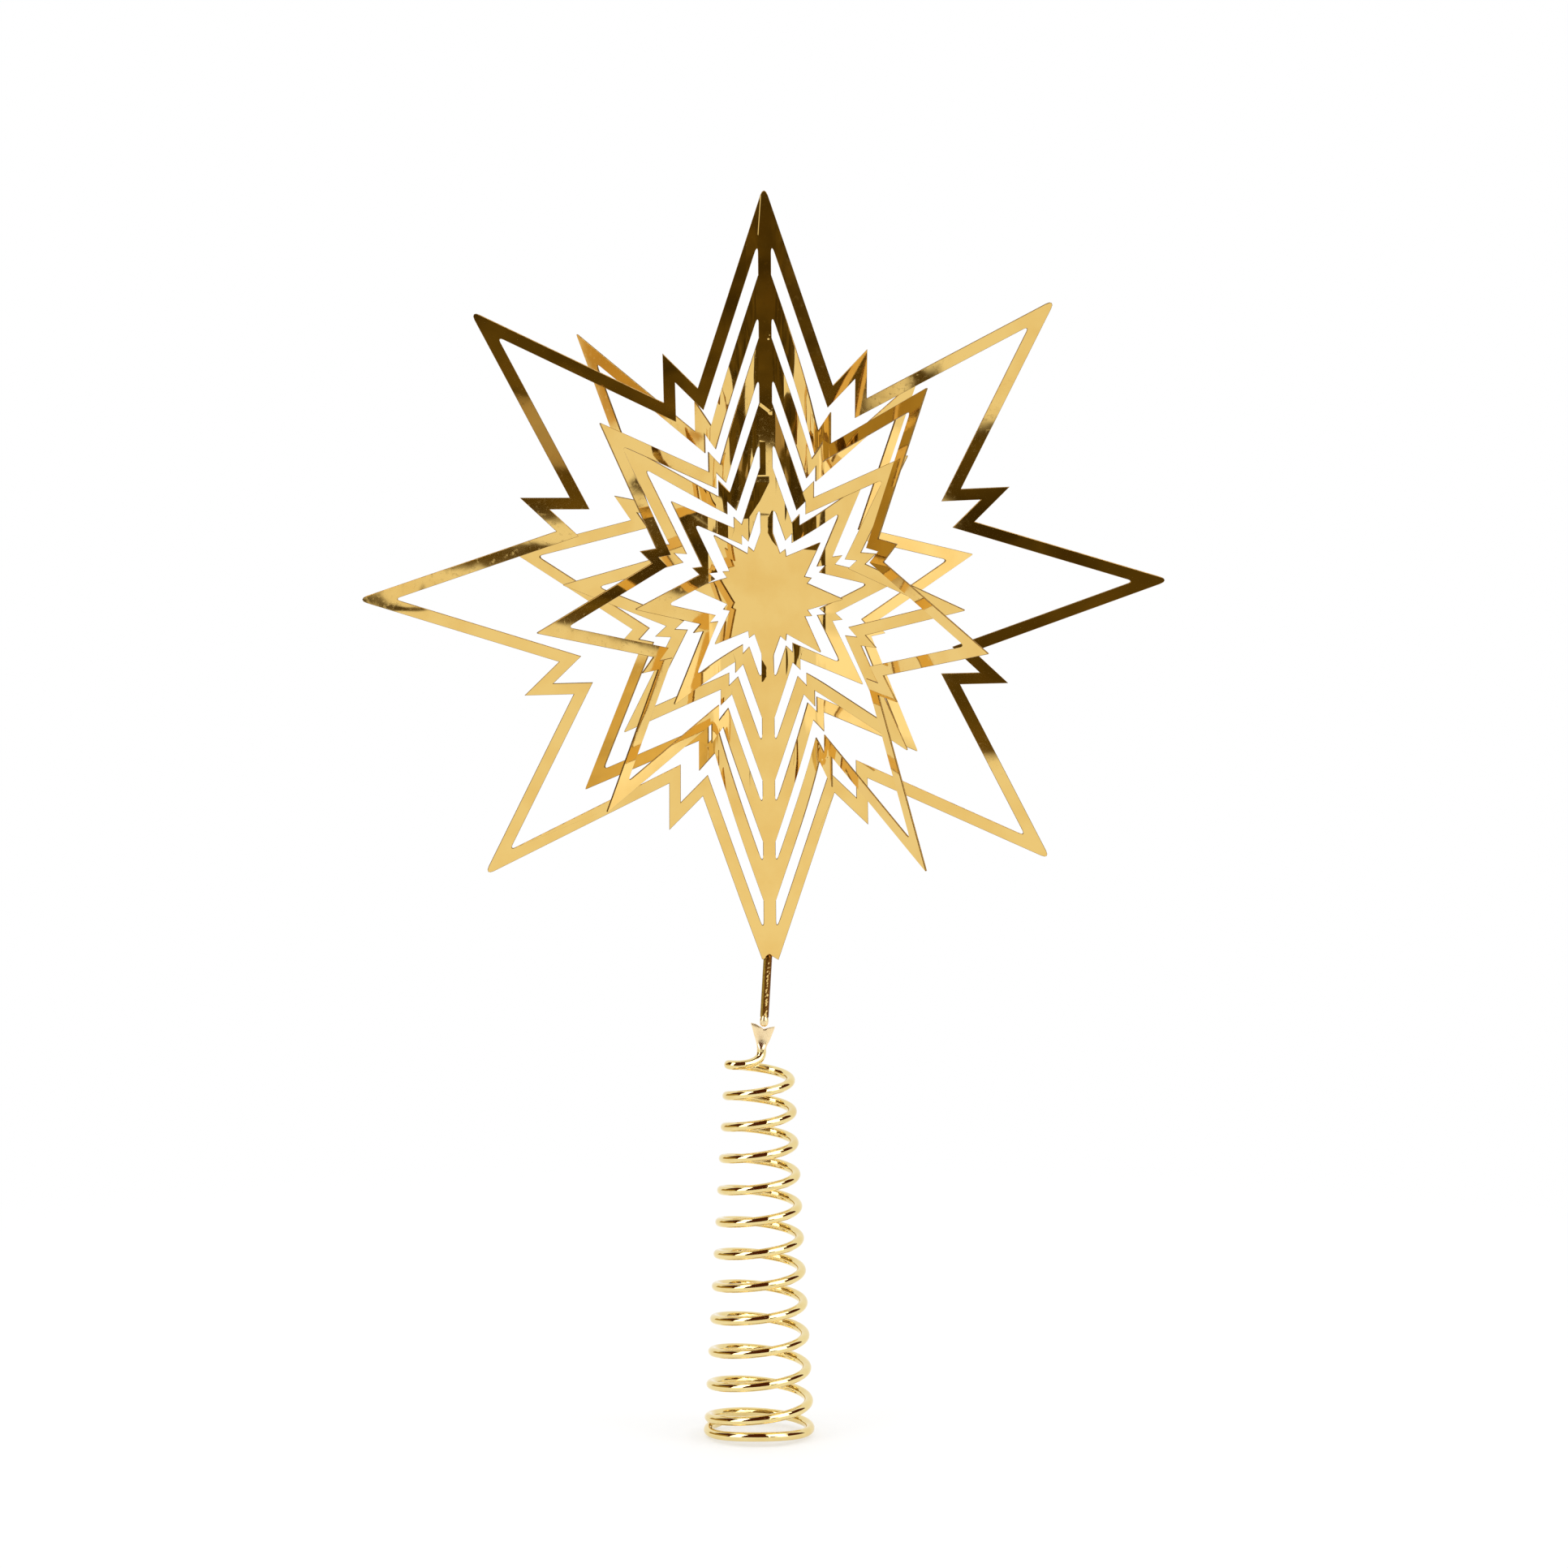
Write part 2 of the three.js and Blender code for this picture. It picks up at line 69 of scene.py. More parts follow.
def pick(obj, test, kind="verts"):
    # selects the vertices, edges or faces that pass the test, in edit mode
    bpy.ops.mesh.select_mode(type={"verts": "VERT", "edges": "EDGE", "faces": "FACE"}[kind])
    bpy.ops.mesh.select_all(action="DESELECT")
    bm = bmesh.from_edit_mesh(obj.data)
    parts = getattr(bm, kind)
    parts.ensure_lookup_table()
    for item in parts:
        if test(item):
            item.select_set(True)
    bm.select_flush_mode()
    bmesh.update_edit_mesh(obj.data)


def turn(degrees, axis, centre):
    # right-handed about the axis; without a window the operator turns the other way
    bpy.ops.transform.rotate(value=rad(-degrees), orient_axis=axis, center_override=centre)


def cut(x=0.0, normal=(1, 0, 0), clear=False, point=None):
    selectMesh()
    bpy.ops.mesh.bisect(plane_co=point or (x, 0, 0), plane_no=normal, clear_inner=clear, threshold=1e-7)


def cutLevel(z, up=1, clear=False):
    # across the piece at a height in mm; with clear, what lies under it goes, or over it where up is -1
    cut(normal=(0, 0, up), clear=clear, point=(0, 0, z * mm))


def level(v, z):
    return abs(v.co.z - z * mm) < 1e-6


def resizeLevel(obj, z, x=1, y=1, test=lambda v: True):
    pick(obj, lambda v: level(v, z) and test(v))
    bpy.ops.transform.resize(value=(x, y, 1), center_override=(0, 0, z * mm))


def sharpEdge(e, degrees):
    return len(e.link_faces) == 2 and e.calc_face_angle(0) > rad(degrees)


def outward():
    selectMesh()
    bpy.ops.mesh.normals_make_consistent(inside=False)


def polygon(corners):
    # one flat face pulled to its corners, left selected in edit mode
    deselectAll()
    bpy.ops.mesh.primitive_circle_add(vertices=len(corners), radius=1, fill_type="NGON")
    obj = bpy.context.object
    setMode("EDIT")
    for i, corner in enumerate(corners):
        pick(obj, lambda v: v.index == i)
        verts = bmesh.from_edit_mesh(obj.data).verts
        verts.ensure_lookup_table()
        bpy.ops.transform.translate(value=Vector(corner) - verts[i].co)
    selectMesh()
    return obj


def ringedCylinder(heights, sides):
    # a cylinder of 1 mm radius with a ring of vertices at each height, left in edit mode
    low, high = heights[0], heights[-1]
    deselectAll()
    bpy.ops.mesh.primitive_cylinder_add(vertices=sides, radius=mm, depth=(high - low) * mm,
                                        location=(0, 0, (low + high) / 2 * mm))
    obj = bpy.context.object
    bpy.ops.object.transform_apply(location=True)
    setMode("EDIT")
    for z in heights[1:-1]:
        cutLevel(z)
    return obj


def bake(obj, modifier):
    use(obj)
    bpy.ops.object.modifier_apply(modifier=modifier.name)


def finish(obj, name, body, slotName, *materials, smoothAngle=30):
    use(obj)
    bpy.ops.object.transform_apply(location=True, rotation=True, scale=True)
    bpy.ops.object.shade_smooth_by_angle(angle=rad(smoothAngle))
    obj.name = name
    obj.data.name = name
    while len(obj.data.materials) < len(materials):
        obj.data.materials.append(None)
    for i, material in enumerate(materials):
        obj.data.materials[i] = material
    if body:
        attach(obj, body)


# the camera, at the photo's angle
view = {"target": (0.0056, 0.0, 0.1481), "distance": 1.0121, "elevation": 5.21, "focalPixels": 5566.6,
        "framePixels": 1932, "sensor": 36, "clipStart": 0.05}
bpy.ops.object.camera_add()
camera = bpy.context.object
lift = rad(view["elevation"])
camera.location = Vector(view["target"]) + view["distance"] * Vector((0, -math.cos(lift), math.sin(lift)))
camera.rotation_euler = (math.pi / 2 - lift, 0, 0)
camera.data.sensor_width = view["sensor"]
camera.data.lens = view["sensor"] * view["focalPixels"] / view["framePixels"]
camera.data.clip_start = view["clipStart"]
bpy.context.scene.camera = camera
print("camera set")


class Val:
    # wraps a socket, so shader maths reads as an expression
    def __init__(self, tree, socket):
        self.tree, self.socket = tree, socket

    def make(self, operation, other, swap=False):
        node = self.tree.nodes.new("ShaderNodeMath")
        node.operation = operation
        for i, v in enumerate((other, self) if swap else (self, other)):
            if isinstance(v, Val):
                self.tree.links.new(v.socket, node.inputs[i])
            else:
                node.inputs[i].default_value = v
        return Val(self.tree, node.outputs[0])

    def __add__(self, o): return self.make("ADD", o)
    def __radd__(self, o): return self.make("ADD", o, True)
    def __sub__(self, o): return self.make("SUBTRACT", o)
    def __rsub__(self, o): return self.make("SUBTRACT", o, True)
    def __mul__(self, o): return self.make("MULTIPLY", o)
    def __rmul__(self, o): return self.make("MULTIPLY", o, True)

    def limit(self, low, high):
        return self.make("MAXIMUM", low).make("MINIMUM", high)


class Finish:
    def __init__(self, name, **values):
        self.material = bpy.data.materials.new(name)
        self.material.use_nodes = True
        self.tree = self.material.node_tree
        self.shader = self.tree.nodes["Principled BSDF"]
        for key, value in values.items():
            self.shader.inputs[key].default_value = value

    def node(self, kind, settings=None, **sockets):
        made = self.tree.nodes.new(kind)
        for key, value in (settings or {}).items():
            setattr(made, key, value)
        for key, value in sockets.items():
            self.link(value, made.inputs[key])
        return made

    def link(self, value, socket):
        if isinstance(value, Val):
            self.tree.links.new(value.socket, socket)
        elif isinstance(value, bpy.types.NodeSocket):
            self.tree.links.new(value, socket)
        else:
            socket.default_value = value

    def value(self, socket):
        return Val(self.tree, socket)

    def vector(self, operation, socket, other, output="Vector"):
        made = self.node("ShaderNodeVectorMath", {"operation": operation}, Vector=socket)
        made.inputs[1].default_value = other
        return made.outputs[output]

    def mixColours(self, factor, first, second):
        # of a colour mix, sockets 6 and 7 take the colours and output 2 gives the result
        made = self.node("ShaderNodeMix", {"data_type": "RGBA"}, Factor=factor)
        self.link(first, made.inputs[6])
        self.link(second, made.inputs[7])
        return made.outputs[2]

    def surface(self, factor, first, second):
        # the floor and the cards glow without being sampled as lamps
        made = self.node("ShaderNodeMixShader", Fac=factor)
        self.link(first.outputs[0], made.inputs[1])
        self.link(second.outputs[0], made.inputs[2])
        self.link(made.outputs[0], self.tree.nodes["Material Output"].inputs["Surface"])
        self.material.cycles.emission_sampling = "NONE"


# the star sheet, in millimetres and degrees
star = {
    "middle": (1.918, -16.606, 191.563), "turns": (10.6, -0.4, 3.85),
    "thickness": 0.45, "bar": 2.65, "pointHalf": 18.4, "spikeHalf": 21.8, "spine": 1.4,
    "cutRound": 0.45, "slotRound": 0.36, "outerTip": 0.85, "innerTip": 0.2, "edgeBevel": 0.09,
    "foldStart": 1.6, "foldWidth": 12.0, "foldSteps": 16,
    # of a star's face: how far in from a point's end its corners count, where the upright points end, and
    # how far in from its end a slot's corners count
    "tipZone": 0.5, "uprightTo": 3, "slotZone": 6, "sharp": 50,
}
sheetTurn = Euler([rad(a) for a in star["turns"]], "ZYX").to_matrix()
# how near a face of the cut edge lies to a neck's end or the spine's side to count as uncut, mm, and how many
# times the spine's half width a neck's end reaches out
seam = {"end": 0.02, "side": 0.05, "neckWide": 1.5}

# bumps are (size of the feature, height) in mm; the sheet is bright but never quite flat
goldSheet = {"colour": (0.83, 0.57, 0.185, 1), "deep": (0.76, 0.47, 0.12, 1), "roughness": 0.025,
             "mottle": 0.07, "mottleSize": 9, "bumps": ((34, 0.10), (7, 0.005)), "speckSize": 0.9,
             "speckTall": 0.0002, "speckRough": 0.045}
goldWire = {"colour": (0.84, 0.68, 0.315, 1), "deep": (0.76, 0.56, 0.21, 1), "roughness": 0.035, "mottle": 0.08,
            "mottleSize": 4, "bumps": ((5, 0.02), (1.6, 0.0015)), "speckSize": 0.5, "speckTall": 0.0004,
            "speckRough": 0.15}
stemMetal = {"colour": (0.17, 0.065, 0.008, 1), "deep": (0.06, 0.018, 0.002, 1), "roughness": 0.2,
             "mottle": 0.2, "mottleSize": 0.7, "bumps": ((1.5, 0.03), (0.45, 0.02)), "speckSize": 0.3,
             "speckTall": 0.01, "speckRough": 0.1}
lapMetal = dict(stemMetal, colour=(0.34, 0.21, 0.03, 1), deep=(0.2, 0.11, 0.015, 1))
# bright flecks painted down the front of the stem as glints on its speckled surface: size, how much they lie along
# it, threshold
stemPaintedGlints = {"size": 0.5, "lean": (0.8, 0.8, 1.9), "turn": 40, "above": 0.62, "colour": (0.95, 0.68, 0.25, 1)}
clipMetal = {"colour": (0.93, 0.74, 0.44, 1), "deep": (0.90, 0.67, 0.38, 1), "roughness": 0.2, "mottle": 0.2,
             "mottleSize": 1.5, "bumps": ((2.5, 0.015),), "speckSize": 0.3, "speckTall": 0.0002,
             "speckRough": 0.1}
beadMetal = {"colour": (0.86, 0.70, 0.40, 1), "deep": (0.80, 0.60, 0.30, 1), "roughness": 0.3, "mottle": 0.1,
             "mottleSize": 1.0, "bumps": ((1.2, 0.02),), "speckSize": 0.4, "speckTall": 0.001,
             "speckRough": 0.1}
cutEdge = {"colour": (0.30, 0.17, 0.04, 1), "deep": (0.16, 0.08, 0.015, 1), "roughness": 0.35, "mottle": 0.3,
           "mottleSize": 0.9, "bumps": ((0.8, 0.01),), "speckSize": 0.3, "speckTall": 0.002, "speckRough": 0.2}
# dents in the outer star and the middle plate, in the sheet's own plane: x, z, radius, depth, all mm
frameDents = [(-47, 39, 16, 0.04), (0.7, 57.0, 0.9, 0.025), (1.2, 40.8, 1.0, 0.04),
              (60, 13, 9, 0.05), (55, -14, 10, -0.06), (-78, -3, 8, 0.06), (27, 55, 12, 0.07)]
plateDents = [(0.6, -2.2, 0.7, 0.015), (-9, 7, 5, 0.02)]
# sharp lines pressed into the sheet: from x, z to x, z, half width, height
frameCreases = [(-1.5, 78.4, -0.75, 88.4, 0.16, 0.016), (-1.7, 42.6, 1.3, 40.2, 0.35, 0.05)]
# where the sheet is rolled away to one side of a line: side, width, slope to that side, slope up the sheet,
# and the line's points as z and x
spineRoll = (-1, 4.5, 0.17, 0, ((17.0, -4.0), (20.9, -1.4), (25.0, 0.65), (26.3, 0.6), (26.6, -0.1), (34, -0.1),
                                (35, -4)))
neckRolls = [(1, 1.5, 0, 0.06, ((10.4, 30), (10.6, 2.2), (12.0, 1.0), (13.6, 0.2), (17, 0.2), (18.6, 1.0),
                                (19.2, 2.2), (19.4, 30))),
             (-1, 1.5, 0, 0.1, ((-21.4, -30), (-21.2, -2.2), (-20, -1.1), (-18.8, -0.3), (-16.6, -0.3),
                                (-15.2, -1.0), (-14.4, -2.2), (-14.2, -30)))]
ringDents = {
    "ring2_left": [(-32, -48, 16, 0.05), (-40, 62, 14, 0.06), (-14, 30, 7, 0.05)],
    "ring2_right": [(28, 34, 14, 0.06), (24, 20, 8, -0.05)],
    "ring3_left": [(-24, 38, 14, 0.10), (-12, -30, 8, 0.05)],
    "ring3_right": [(26, -36, 12, 0.05), (12, 28, 7, 0.06)],
    "ring4_left": [(-22, -3, 9, 0.27), (-16, 24, 8, 0.04)],
    "ring4_right": [(24, 18, 9, 0.04), (14, -20, 7, 0.05)],
    "ring5_left": [(-14, 22, 10, 0.08)],
    "ring5_right": [(13, -11, 6, 0.04)],
}
# creases run where the etched bars were bent; mm from the spine, and how far they are drawn out along the bar
foldStreaks = {"from": 2.0, "to": 13.0, "rise": 2.0, "size": 3.4, "draw": 0.2, "tall": 0.24}
# thresholds and gains of the shaders; the creases' ends and the rolls' edges are per metre, the higher the sharper
shading = {"speckFrom": 0.56, "speckGain": 5, "mottleFrom": 0.45, "deepFrom": 0.42, "deepGain": 2,
           "creaseEnd": 900, "rollEdge": 12000, "fleckGain": 9}


def noise(f, at, size, detail=2.0):
    # the size is in mm
    return f.value(f.node("ShaderNodeTexNoise", Vector=at, Scale=1000 / size, Detail=detail,
                          Roughness=0.5).outputs["Fac"])


def ownPlane(f, place):
    # the sheet's own frame, x across it and z up the spine, and the same pressed flat
    own = f.node("ShaderNodeMapping", {"vector_type": "TEXTURE"}, Vector=place,
                 Location=Vector(star["middle"]) * mm,
                 Rotation=sheetTurn.to_euler("XYZ")).outputs[0]
    return own, f.vector("MULTIPLY", own, (1, 0, 1))


def dent(f, flat, x, z, radius, depth):
    far = f.value(f.vector("DISTANCE", flat, (x * mm, 0, z * mm), "Value"))
    hollow = (1 - far * (1 / (radius * mm))).limit(0, 1)
    return hollow * hollow * (3 - 2 * hollow) * (depth * mm)


def foldMarks(f, own, streaks):
    across = f.value(f.node("ShaderNodeSeparateXYZ", Vector=own).outputs["X"]).make("ABSOLUTE", 0)
    rise = 1 / (streaks["rise"] * mm)
    zone = ((across - streaks["from"] * mm) * rise).limit(0, 1) \
        * ((streaks["to"] * mm - across) * rise).limit(0, 1)
    drawn = f.vector("MULTIPLY", own, (1, 1, streaks["draw"]))
    return zone * noise(f, drawn, streaks["size"], 1.0) * (streaks["tall"] * mm)


def crease(f, flat, x, z, endX, endZ, half, tall):
    run = Vector((endX - x, 0, endZ - z))
    off = f.vector("SUBTRACT", flat, (x * mm, 0, z * mm))
    near, along = (f.value(f.vector("DOT_PRODUCT", off, direction, "Value"))
                   for direction in (Vector((-run.z, 0, run.x)).normalized(), run.normalized()))
    ends = (along * shading["creaseEnd"]).limit(0, 1) \
        * ((run.length * mm - along) * shading["creaseEnd"]).limit(0, 1)
    return (1 - near.make("ABSOLUTE", 0) * (1 / (half * mm))).limit(0, 1) * ends * (tall * mm)


def rolledAway(f, height, own, side, wide, slope, rise, line):
    axes = f.node("ShaderNodeSeparateXYZ", Vector=own)
    up, lineX = f.value(axes.outputs["Z"]), line[0][1] * mm
    for (z, x), (nextZ, nextX) in zip(line, line[1:]):
        lineX = (up - z * mm).limit(0, (nextZ - z) * mm) * ((nextX - x) / (nextZ - z)) + lineX
    off = ((f.value(axes.outputs["X"]) - lineX) * side).limit(0, wide * mm)
    height = height - off * slope
    if rise:
        middle = (line[0][0] + line[-1][0]) / 2 * mm
        height = height - (off * shading["rollEdge"]).limit(0, 1) * (up - middle) * rise
    return height


def paintedGlintFlecks(f, place, flecks):
    # this attribute gives the column down the front of the tube where glints are painted in as bright flecks
    slanted = f.node("ShaderNodeMapping", {"vector_type": "TEXTURE"}, Vector=place,
                     Rotation=(0, rad(flecks["turn"]), 0), Scale=flecks["lean"])
    cells = f.value(f.node("ShaderNodeTexVoronoi", Vector=slanted.outputs[0],
                           Scale=1000 / flecks["size"]).outputs["Distance"])
    glint_column = f.value(f.node("ShaderNodeAttribute", {"attribute_name": "glint_column"}).outputs["Fac"])
    return ((flecks["above"] * glint_column - cells) * shading["fleckGain"]).limit(0, 1)


def makeGold(name, values, dents=(), streaks=None, creases=(), rolls=(), flecks=None):
    f = Finish(name, Metallic=1.0)
    place = f.node("ShaderNodeTexCoord").outputs["Object"]
    height = sum(noise(f, place, size) * (tall * mm) for size, tall in values["bumps"])
    specks = noise(f, place, values["speckSize"], 3.0) - shading["speckFrom"]
    specks = (specks * shading["speckGain"]).limit(0, 1)
    height = height + specks * (values["speckTall"] * mm)
    if dents or streaks or creases or rolls:
        own, flat = ownPlane(f, place)
    for mark in dents:
        height = height + dent(f, flat, *mark)
    if streaks:
        height = height + foldMarks(f, own, streaks)
    for mark in creases:
        height = height + crease(f, flat, *mark)
    for mark in rolls:
        height = rolledAway(f, height, own, *mark)
    bump = f.node("ShaderNodeBump", Height=height, Distance=1.0, Strength=1.0)
    f.link(bump.outputs["Normal"], f.shader.inputs["Normal"])
    cloud = noise(f, place, values["mottleSize"], 4.0)
    f.link(values["roughness"] + values["mottle"] * (cloud - shading["mottleFrom"]).limit(0, 1)
           + specks * values["speckRough"], f.shader.inputs["Roughness"])
    colour = f.mixColours(((cloud - shading["deepFrom"]) * shading["deepGain"]).limit(0, 1),
                          values["colour"], values["deep"])
    if flecks:
        colour = f.mixColours(paintedGlintFlecks(f, place, flecks), colour, flecks["colour"])
    f.link(colour, f.shader.inputs["Base Color"])
    return f.material


frameMetal = makeGold("polished_gold_frame", goldSheet, frameDents, creases=frameCreases, rolls=[spineRoll])
ringMetals = {half: makeGold("polished_gold_" + half, goldSheet, dents, streaks=foldStreaks,
                             rolls=[spineRoll] if half == "ring5_left" else [])
              for half, dents in ringDents.items()}
plateMetal = makeGold("polished_gold_plate", goldSheet, plateDents, rolls=neckRolls)
edgeMetal = makeGold("etched_edge", cutEdge)
brightWire = makeGold("bright_gold_wire", goldWire)
# the stem's bright flecks are painted glints, mixed into its base colour
glintFleckedStem = makeGold("rolled_stem_painted_glints", stemMetal, flecks=stemPaintedGlints)
lappedStem = makeGold("lapped_stem_edge", lapMetal)
satinClip = makeGold("satin_fishtail", clipMetal)
brightBead = makeGold("bright_solder_bead", beadMetal)
print("materials made")


# sharp radii of points, spikes and the cut-out's spikes; folds in degrees, positive to the front
ringSizes = {
    "outer": {"point": 90.1, "spike": 58.1, "cutSpike": 51.2, "left": -2, "right": -3},
    "ring2": {"point": 74.7, "spike": 45.4, "cutSpike": 37.9, "left": -45, "right": 59.6},
    "ring3": {"point": 61.0, "spike": 35.4, "cutSpike": 30.1, "left": 36, "right": -39.7},
    "ring4": {"point": 46.8, "spike": 27.5, "cutSpike": 22.4, "left": -19, "right": 30.1},
    "ring5": {"point": 32.4, "spike": 19.05, "cutSpike": 14.4, "left": 28.7, "right": -24.9},
}
# the star in the middle, and the heights at which its necks start from the spine and reach the plate
centre = {"point": 17.7, "spike": 11.2, "pointHalf": 19.9, "spikeHalf": 29.8, "turn": 22.8, "neckEnd": 19.9,
          "neckShoulder": 13.6, "neckSteps": 12}


# degrees from a long point to the short spike next to it
spikeAt = 360 / 16


def valley(point, spike, pointHalf, spikeHalf):
    # where a long point's side meets the side of the spike next to it
    slope = math.tan(rad(pointHalf))
    tip = Vector((math.sin(rad(spikeAt)), math.cos(rad(spikeAt)))) * spike
    into = -Vector((math.sin(rad(spikeAt + spikeHalf)), math.cos(rad(spikeAt + spikeHalf))))
    t = ((point - tip.y) * slope - tip.x) / (into.x + into.y * slope)
    at = tip + t * into
    return at.length, math.degrees(math.atan2(at.x, at.y))


def starFace(point, spike, pointHalf=star["pointHalf"], spikeHalf=star["spikeHalf"]):
    # a 32-sided disc pulled out into an eight-pointed star with a short spike between the points
    deselectAll()
    bpy.ops.mesh.primitive_circle_add(vertices=32, radius=1, rotation=(math.pi / 2, 0, 0))
    obj = bpy.context.object
    bpy.ops.object.transform_apply(location=False, rotation=True, scale=False)
    reach, angle = valley(point, spike, pointHalf, spikeHalf)
    setMode("EDIT")
    for first, size, swing in ((0, point, 0), (2, spike, 0), (1, reach, spikeAt / 2 - angle),
                               (3, reach, angle - spikeAt / 2)):
        pick(obj, lambda v: v.index % 4 == first)
        bpy.ops.transform.resize(value=(size * mm,) * 3, center_override=(0, 0, 0))
        if swing:
            turn(swing, "Y", (0, 0, 0))
    selectMesh()
    bpy.ops.mesh.edge_face_add()
    setMode("OBJECT")
    return obj


def roundCorners(obj, test, radius, halfAngle, steps=4):
    pick(obj, test)
    bpy.ops.mesh.bevel(offset_type="OFFSET", offset=radius * mm / math.tan(rad(halfAngle)), segments=steps,
                       affect="VERTICES", profile=0.5)


def roundTips(obj, reach, radius, halfAngle=star["pointHalf"], upright=True):
    # the ends of the points; the upright ones stay as they are where they are cut by the spine
    roundCorners(obj, lambda v: v.co.length > (reach - star["tipZone"]) * mm
                 and (upright or v.co.x > star["uprightTo"] * mm), radius, halfAngle)


def openUp(obj):
    # leaves only the outline of a flat face
    pick(obj, lambda f: True, "faces")
    bpy.ops.mesh.delete(type="ONLY_FACE")
    setMode("OBJECT")


def innerPoint(sizes):
    return sizes["point"] - star["bar"] / math.sin(rad(star["pointHalf"]))


def halfWindow(sizes):
    # right half of a ring's cut-out, with the round ends that etching leaves
    inner = innerPoint(sizes)
    obj = starFace(inner, sizes["cutSpike"])
    setMode("EDIT")
    cut(star["spine"] * mm, clear=True)
    roundTips(obj, inner, star["cutRound"], upright=False)
    roundCorners(obj, lambda v: abs(v.co.x - star["spine"] * mm) < 1e-5
                 and abs(v.co.z) > (inner - star["slotZone"]) * mm, star["slotRound"], star["pointHalf"] / 2, 5)
    openUp(obj)
    return obj


def mirrorCopy(obj):
    use(obj)
    bpy.ops.object.duplicate()
    twin = bpy.context.object
    setMode("EDIT")
    selectMesh()
    bpy.ops.transform.mirror(constraint_axis=(True, False, False), center_override=(0, 0, 0))
    setMode("OBJECT")
    return twin


def fillBetween(*objs):
    obj = use(*objs)
    bpy.ops.object.join()
    setMode("EDIT")
    selectMesh()
    bpy.ops.mesh.fill(use_beauty=True)
    setMode("OBJECT")
    return obj


def bend(obj, side, creases):
    # creases: (distance from the spine's middle in mm, degrees to the front), from the spine outwards
    use(obj)
    setMode("EDIT")
    for x, degrees in creases:
        cut(side * x * mm)
    bm = bmesh.from_edit_mesh(obj.data)
    flat = [v.co.x * side / mm for v in bm.verts]
    at, heading, last = Vector((0, 0, 0)), 0.0, 0.0
    for x, degrees in creases:
        at = at + Vector((side * math.cos(rad(heading)), -math.sin(rad(heading)), 0)) * (x - last) * mm
        last, heading = x, heading + degrees
        if degrees:
            pick(obj, lambda v: flat[v.index] > x + 1e-4)
            turn(-side * degrees, "Z", at)
    setMode("OBJECT")


def evenFold(angle, start=star["foldStart"], width=star["foldWidth"], steps=star["foldSteps"]):
    return [(start + width * (i + 0.5) / steps, angle / steps) for i in range(steps)]


def ringSeams():
    # where the spine's side runs on into each ring half: lowest and highest z in mm
    drop = star["spine"] / math.tan(rad(star["pointHalf"]))
    slotEnd = star["slotRound"] / math.tan(rad(star["pointHalf"] / 2))
    for sizes in list(ringSizes.values())[1:]:
        yield innerPoint(sizes) - drop - slotEnd, sizes["point"] - drop


def atSeam(at):
    # where two pieces of the one sheet meet: the spine's sides at each ring, and the ends of the necks
    ends = lambda z: abs(abs(at.z) - z * mm) < seam["end"] * mm
    if ends(centre["neckEnd"]) and abs(at.x) < seam["neckWide"] * star["spine"] * mm:
        return True
    if ends(centre["neckShoulder"]) and at.length < centre["point"] * mm:
        return True
    if abs(math.hypot(at.x, at.y) - star["spine"] * mm) > seam["side"] * mm:
        return False
    return any(low < abs(at.z) / mm < high for low, high in ringSeams())


def thicken(obj):
    solid = obj.modifiers.new("sheet", "SOLIDIFY")
    solid.thickness = star["thickness"] * mm
    solid.offset = 0
    solid.use_even_offset = True
    solid.material_offset_rim = 1
    obj.data.materials.clear()
    obj.data.materials.append(frameMetal)
    obj.data.materials.append(edgeMetal)
    bake(obj, solid)
    setMode("EDIT")
    outward()
    pick(obj, lambda f: f.material_index == 1 and atSeam(f.calc_center_median()), "faces")
    obj.active_material_index = 0
    bpy.ops.object.material_slot_assign()
    # the etched edge is a little rounded and dull, all along both faces
    pick(obj, lambda e: sharpEdge(e, star["sharp"])
         and {f.material_index for f in e.link_faces} == {0, 1}, "edges")
    bpy.ops.mesh.bevel(offset=star["edgeBevel"] * mm, segments=1, affect="EDGES", material=1)
    setMode("OBJECT")


def standUp(obj):
    obj.rotation_mode = "ZYX"
    obj.rotation_euler = [rad(a) for a in star["turns"]]
    obj.location = Vector(star["middle"]) * mm


def dropLoose(obj):
    selectMesh()
    bpy.ops.mesh.delete_loose(use_verts=True, use_edges=True, use_faces=False)


def makeHalf(name, side):
    sizes = ringSizes[name]
    window = halfWindow(sizes)
    face = starFace(sizes["point"], sizes["spike"])
    setMode("EDIT")
    cut(0.0, clear=True)
    roundTips(face, sizes["point"], star["innerTip"], upright=False)
    openUp(face)
    half = fillBetween(face, window)
    setMode("EDIT")
    cut(star["spine"] * mm, clear=True)
    dropLoose(half)
    setMode("OBJECT")
    if side < 0:
        twin = mirrorCopy(half)
        bpy.data.objects.remove(half)
        half = twin
    bend(half, side, evenFold(sizes["left" if side < 0 else "right"]))
    thicken(half)
    standUp(half)
    node = name + ("_left" if side < 0 else "_right")
    finish(half, node + "_sheet", node, "polished_sheet", ringMetals[node], edgeMetal)
    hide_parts(node)


for ringName in ("ring2", "ring3", "ring4", "ring5"):
    for side in (-1, 1):
        makeHalf(ringName, side)
    print(ringName, "halves bent")


# the outer star with its spine, and the blade at its foot
# heights are above the sharp point that the foot would have; the left corner comes in by a little
blade = {"prong": 5.6, "shoulder": 6.6, "tabFoot": 3.9, "tabWidth": 1.0, "notch": 0.3, "leftDrop": 0.75,
         "cornerFrom": 1.8, "cornerIn": 0.12}
# how each side of the outer star leaves the spine: start, width and steps
frameFolds = {"left": (1.5, 0.6, 2), "right": (1.5, 4, 4)}


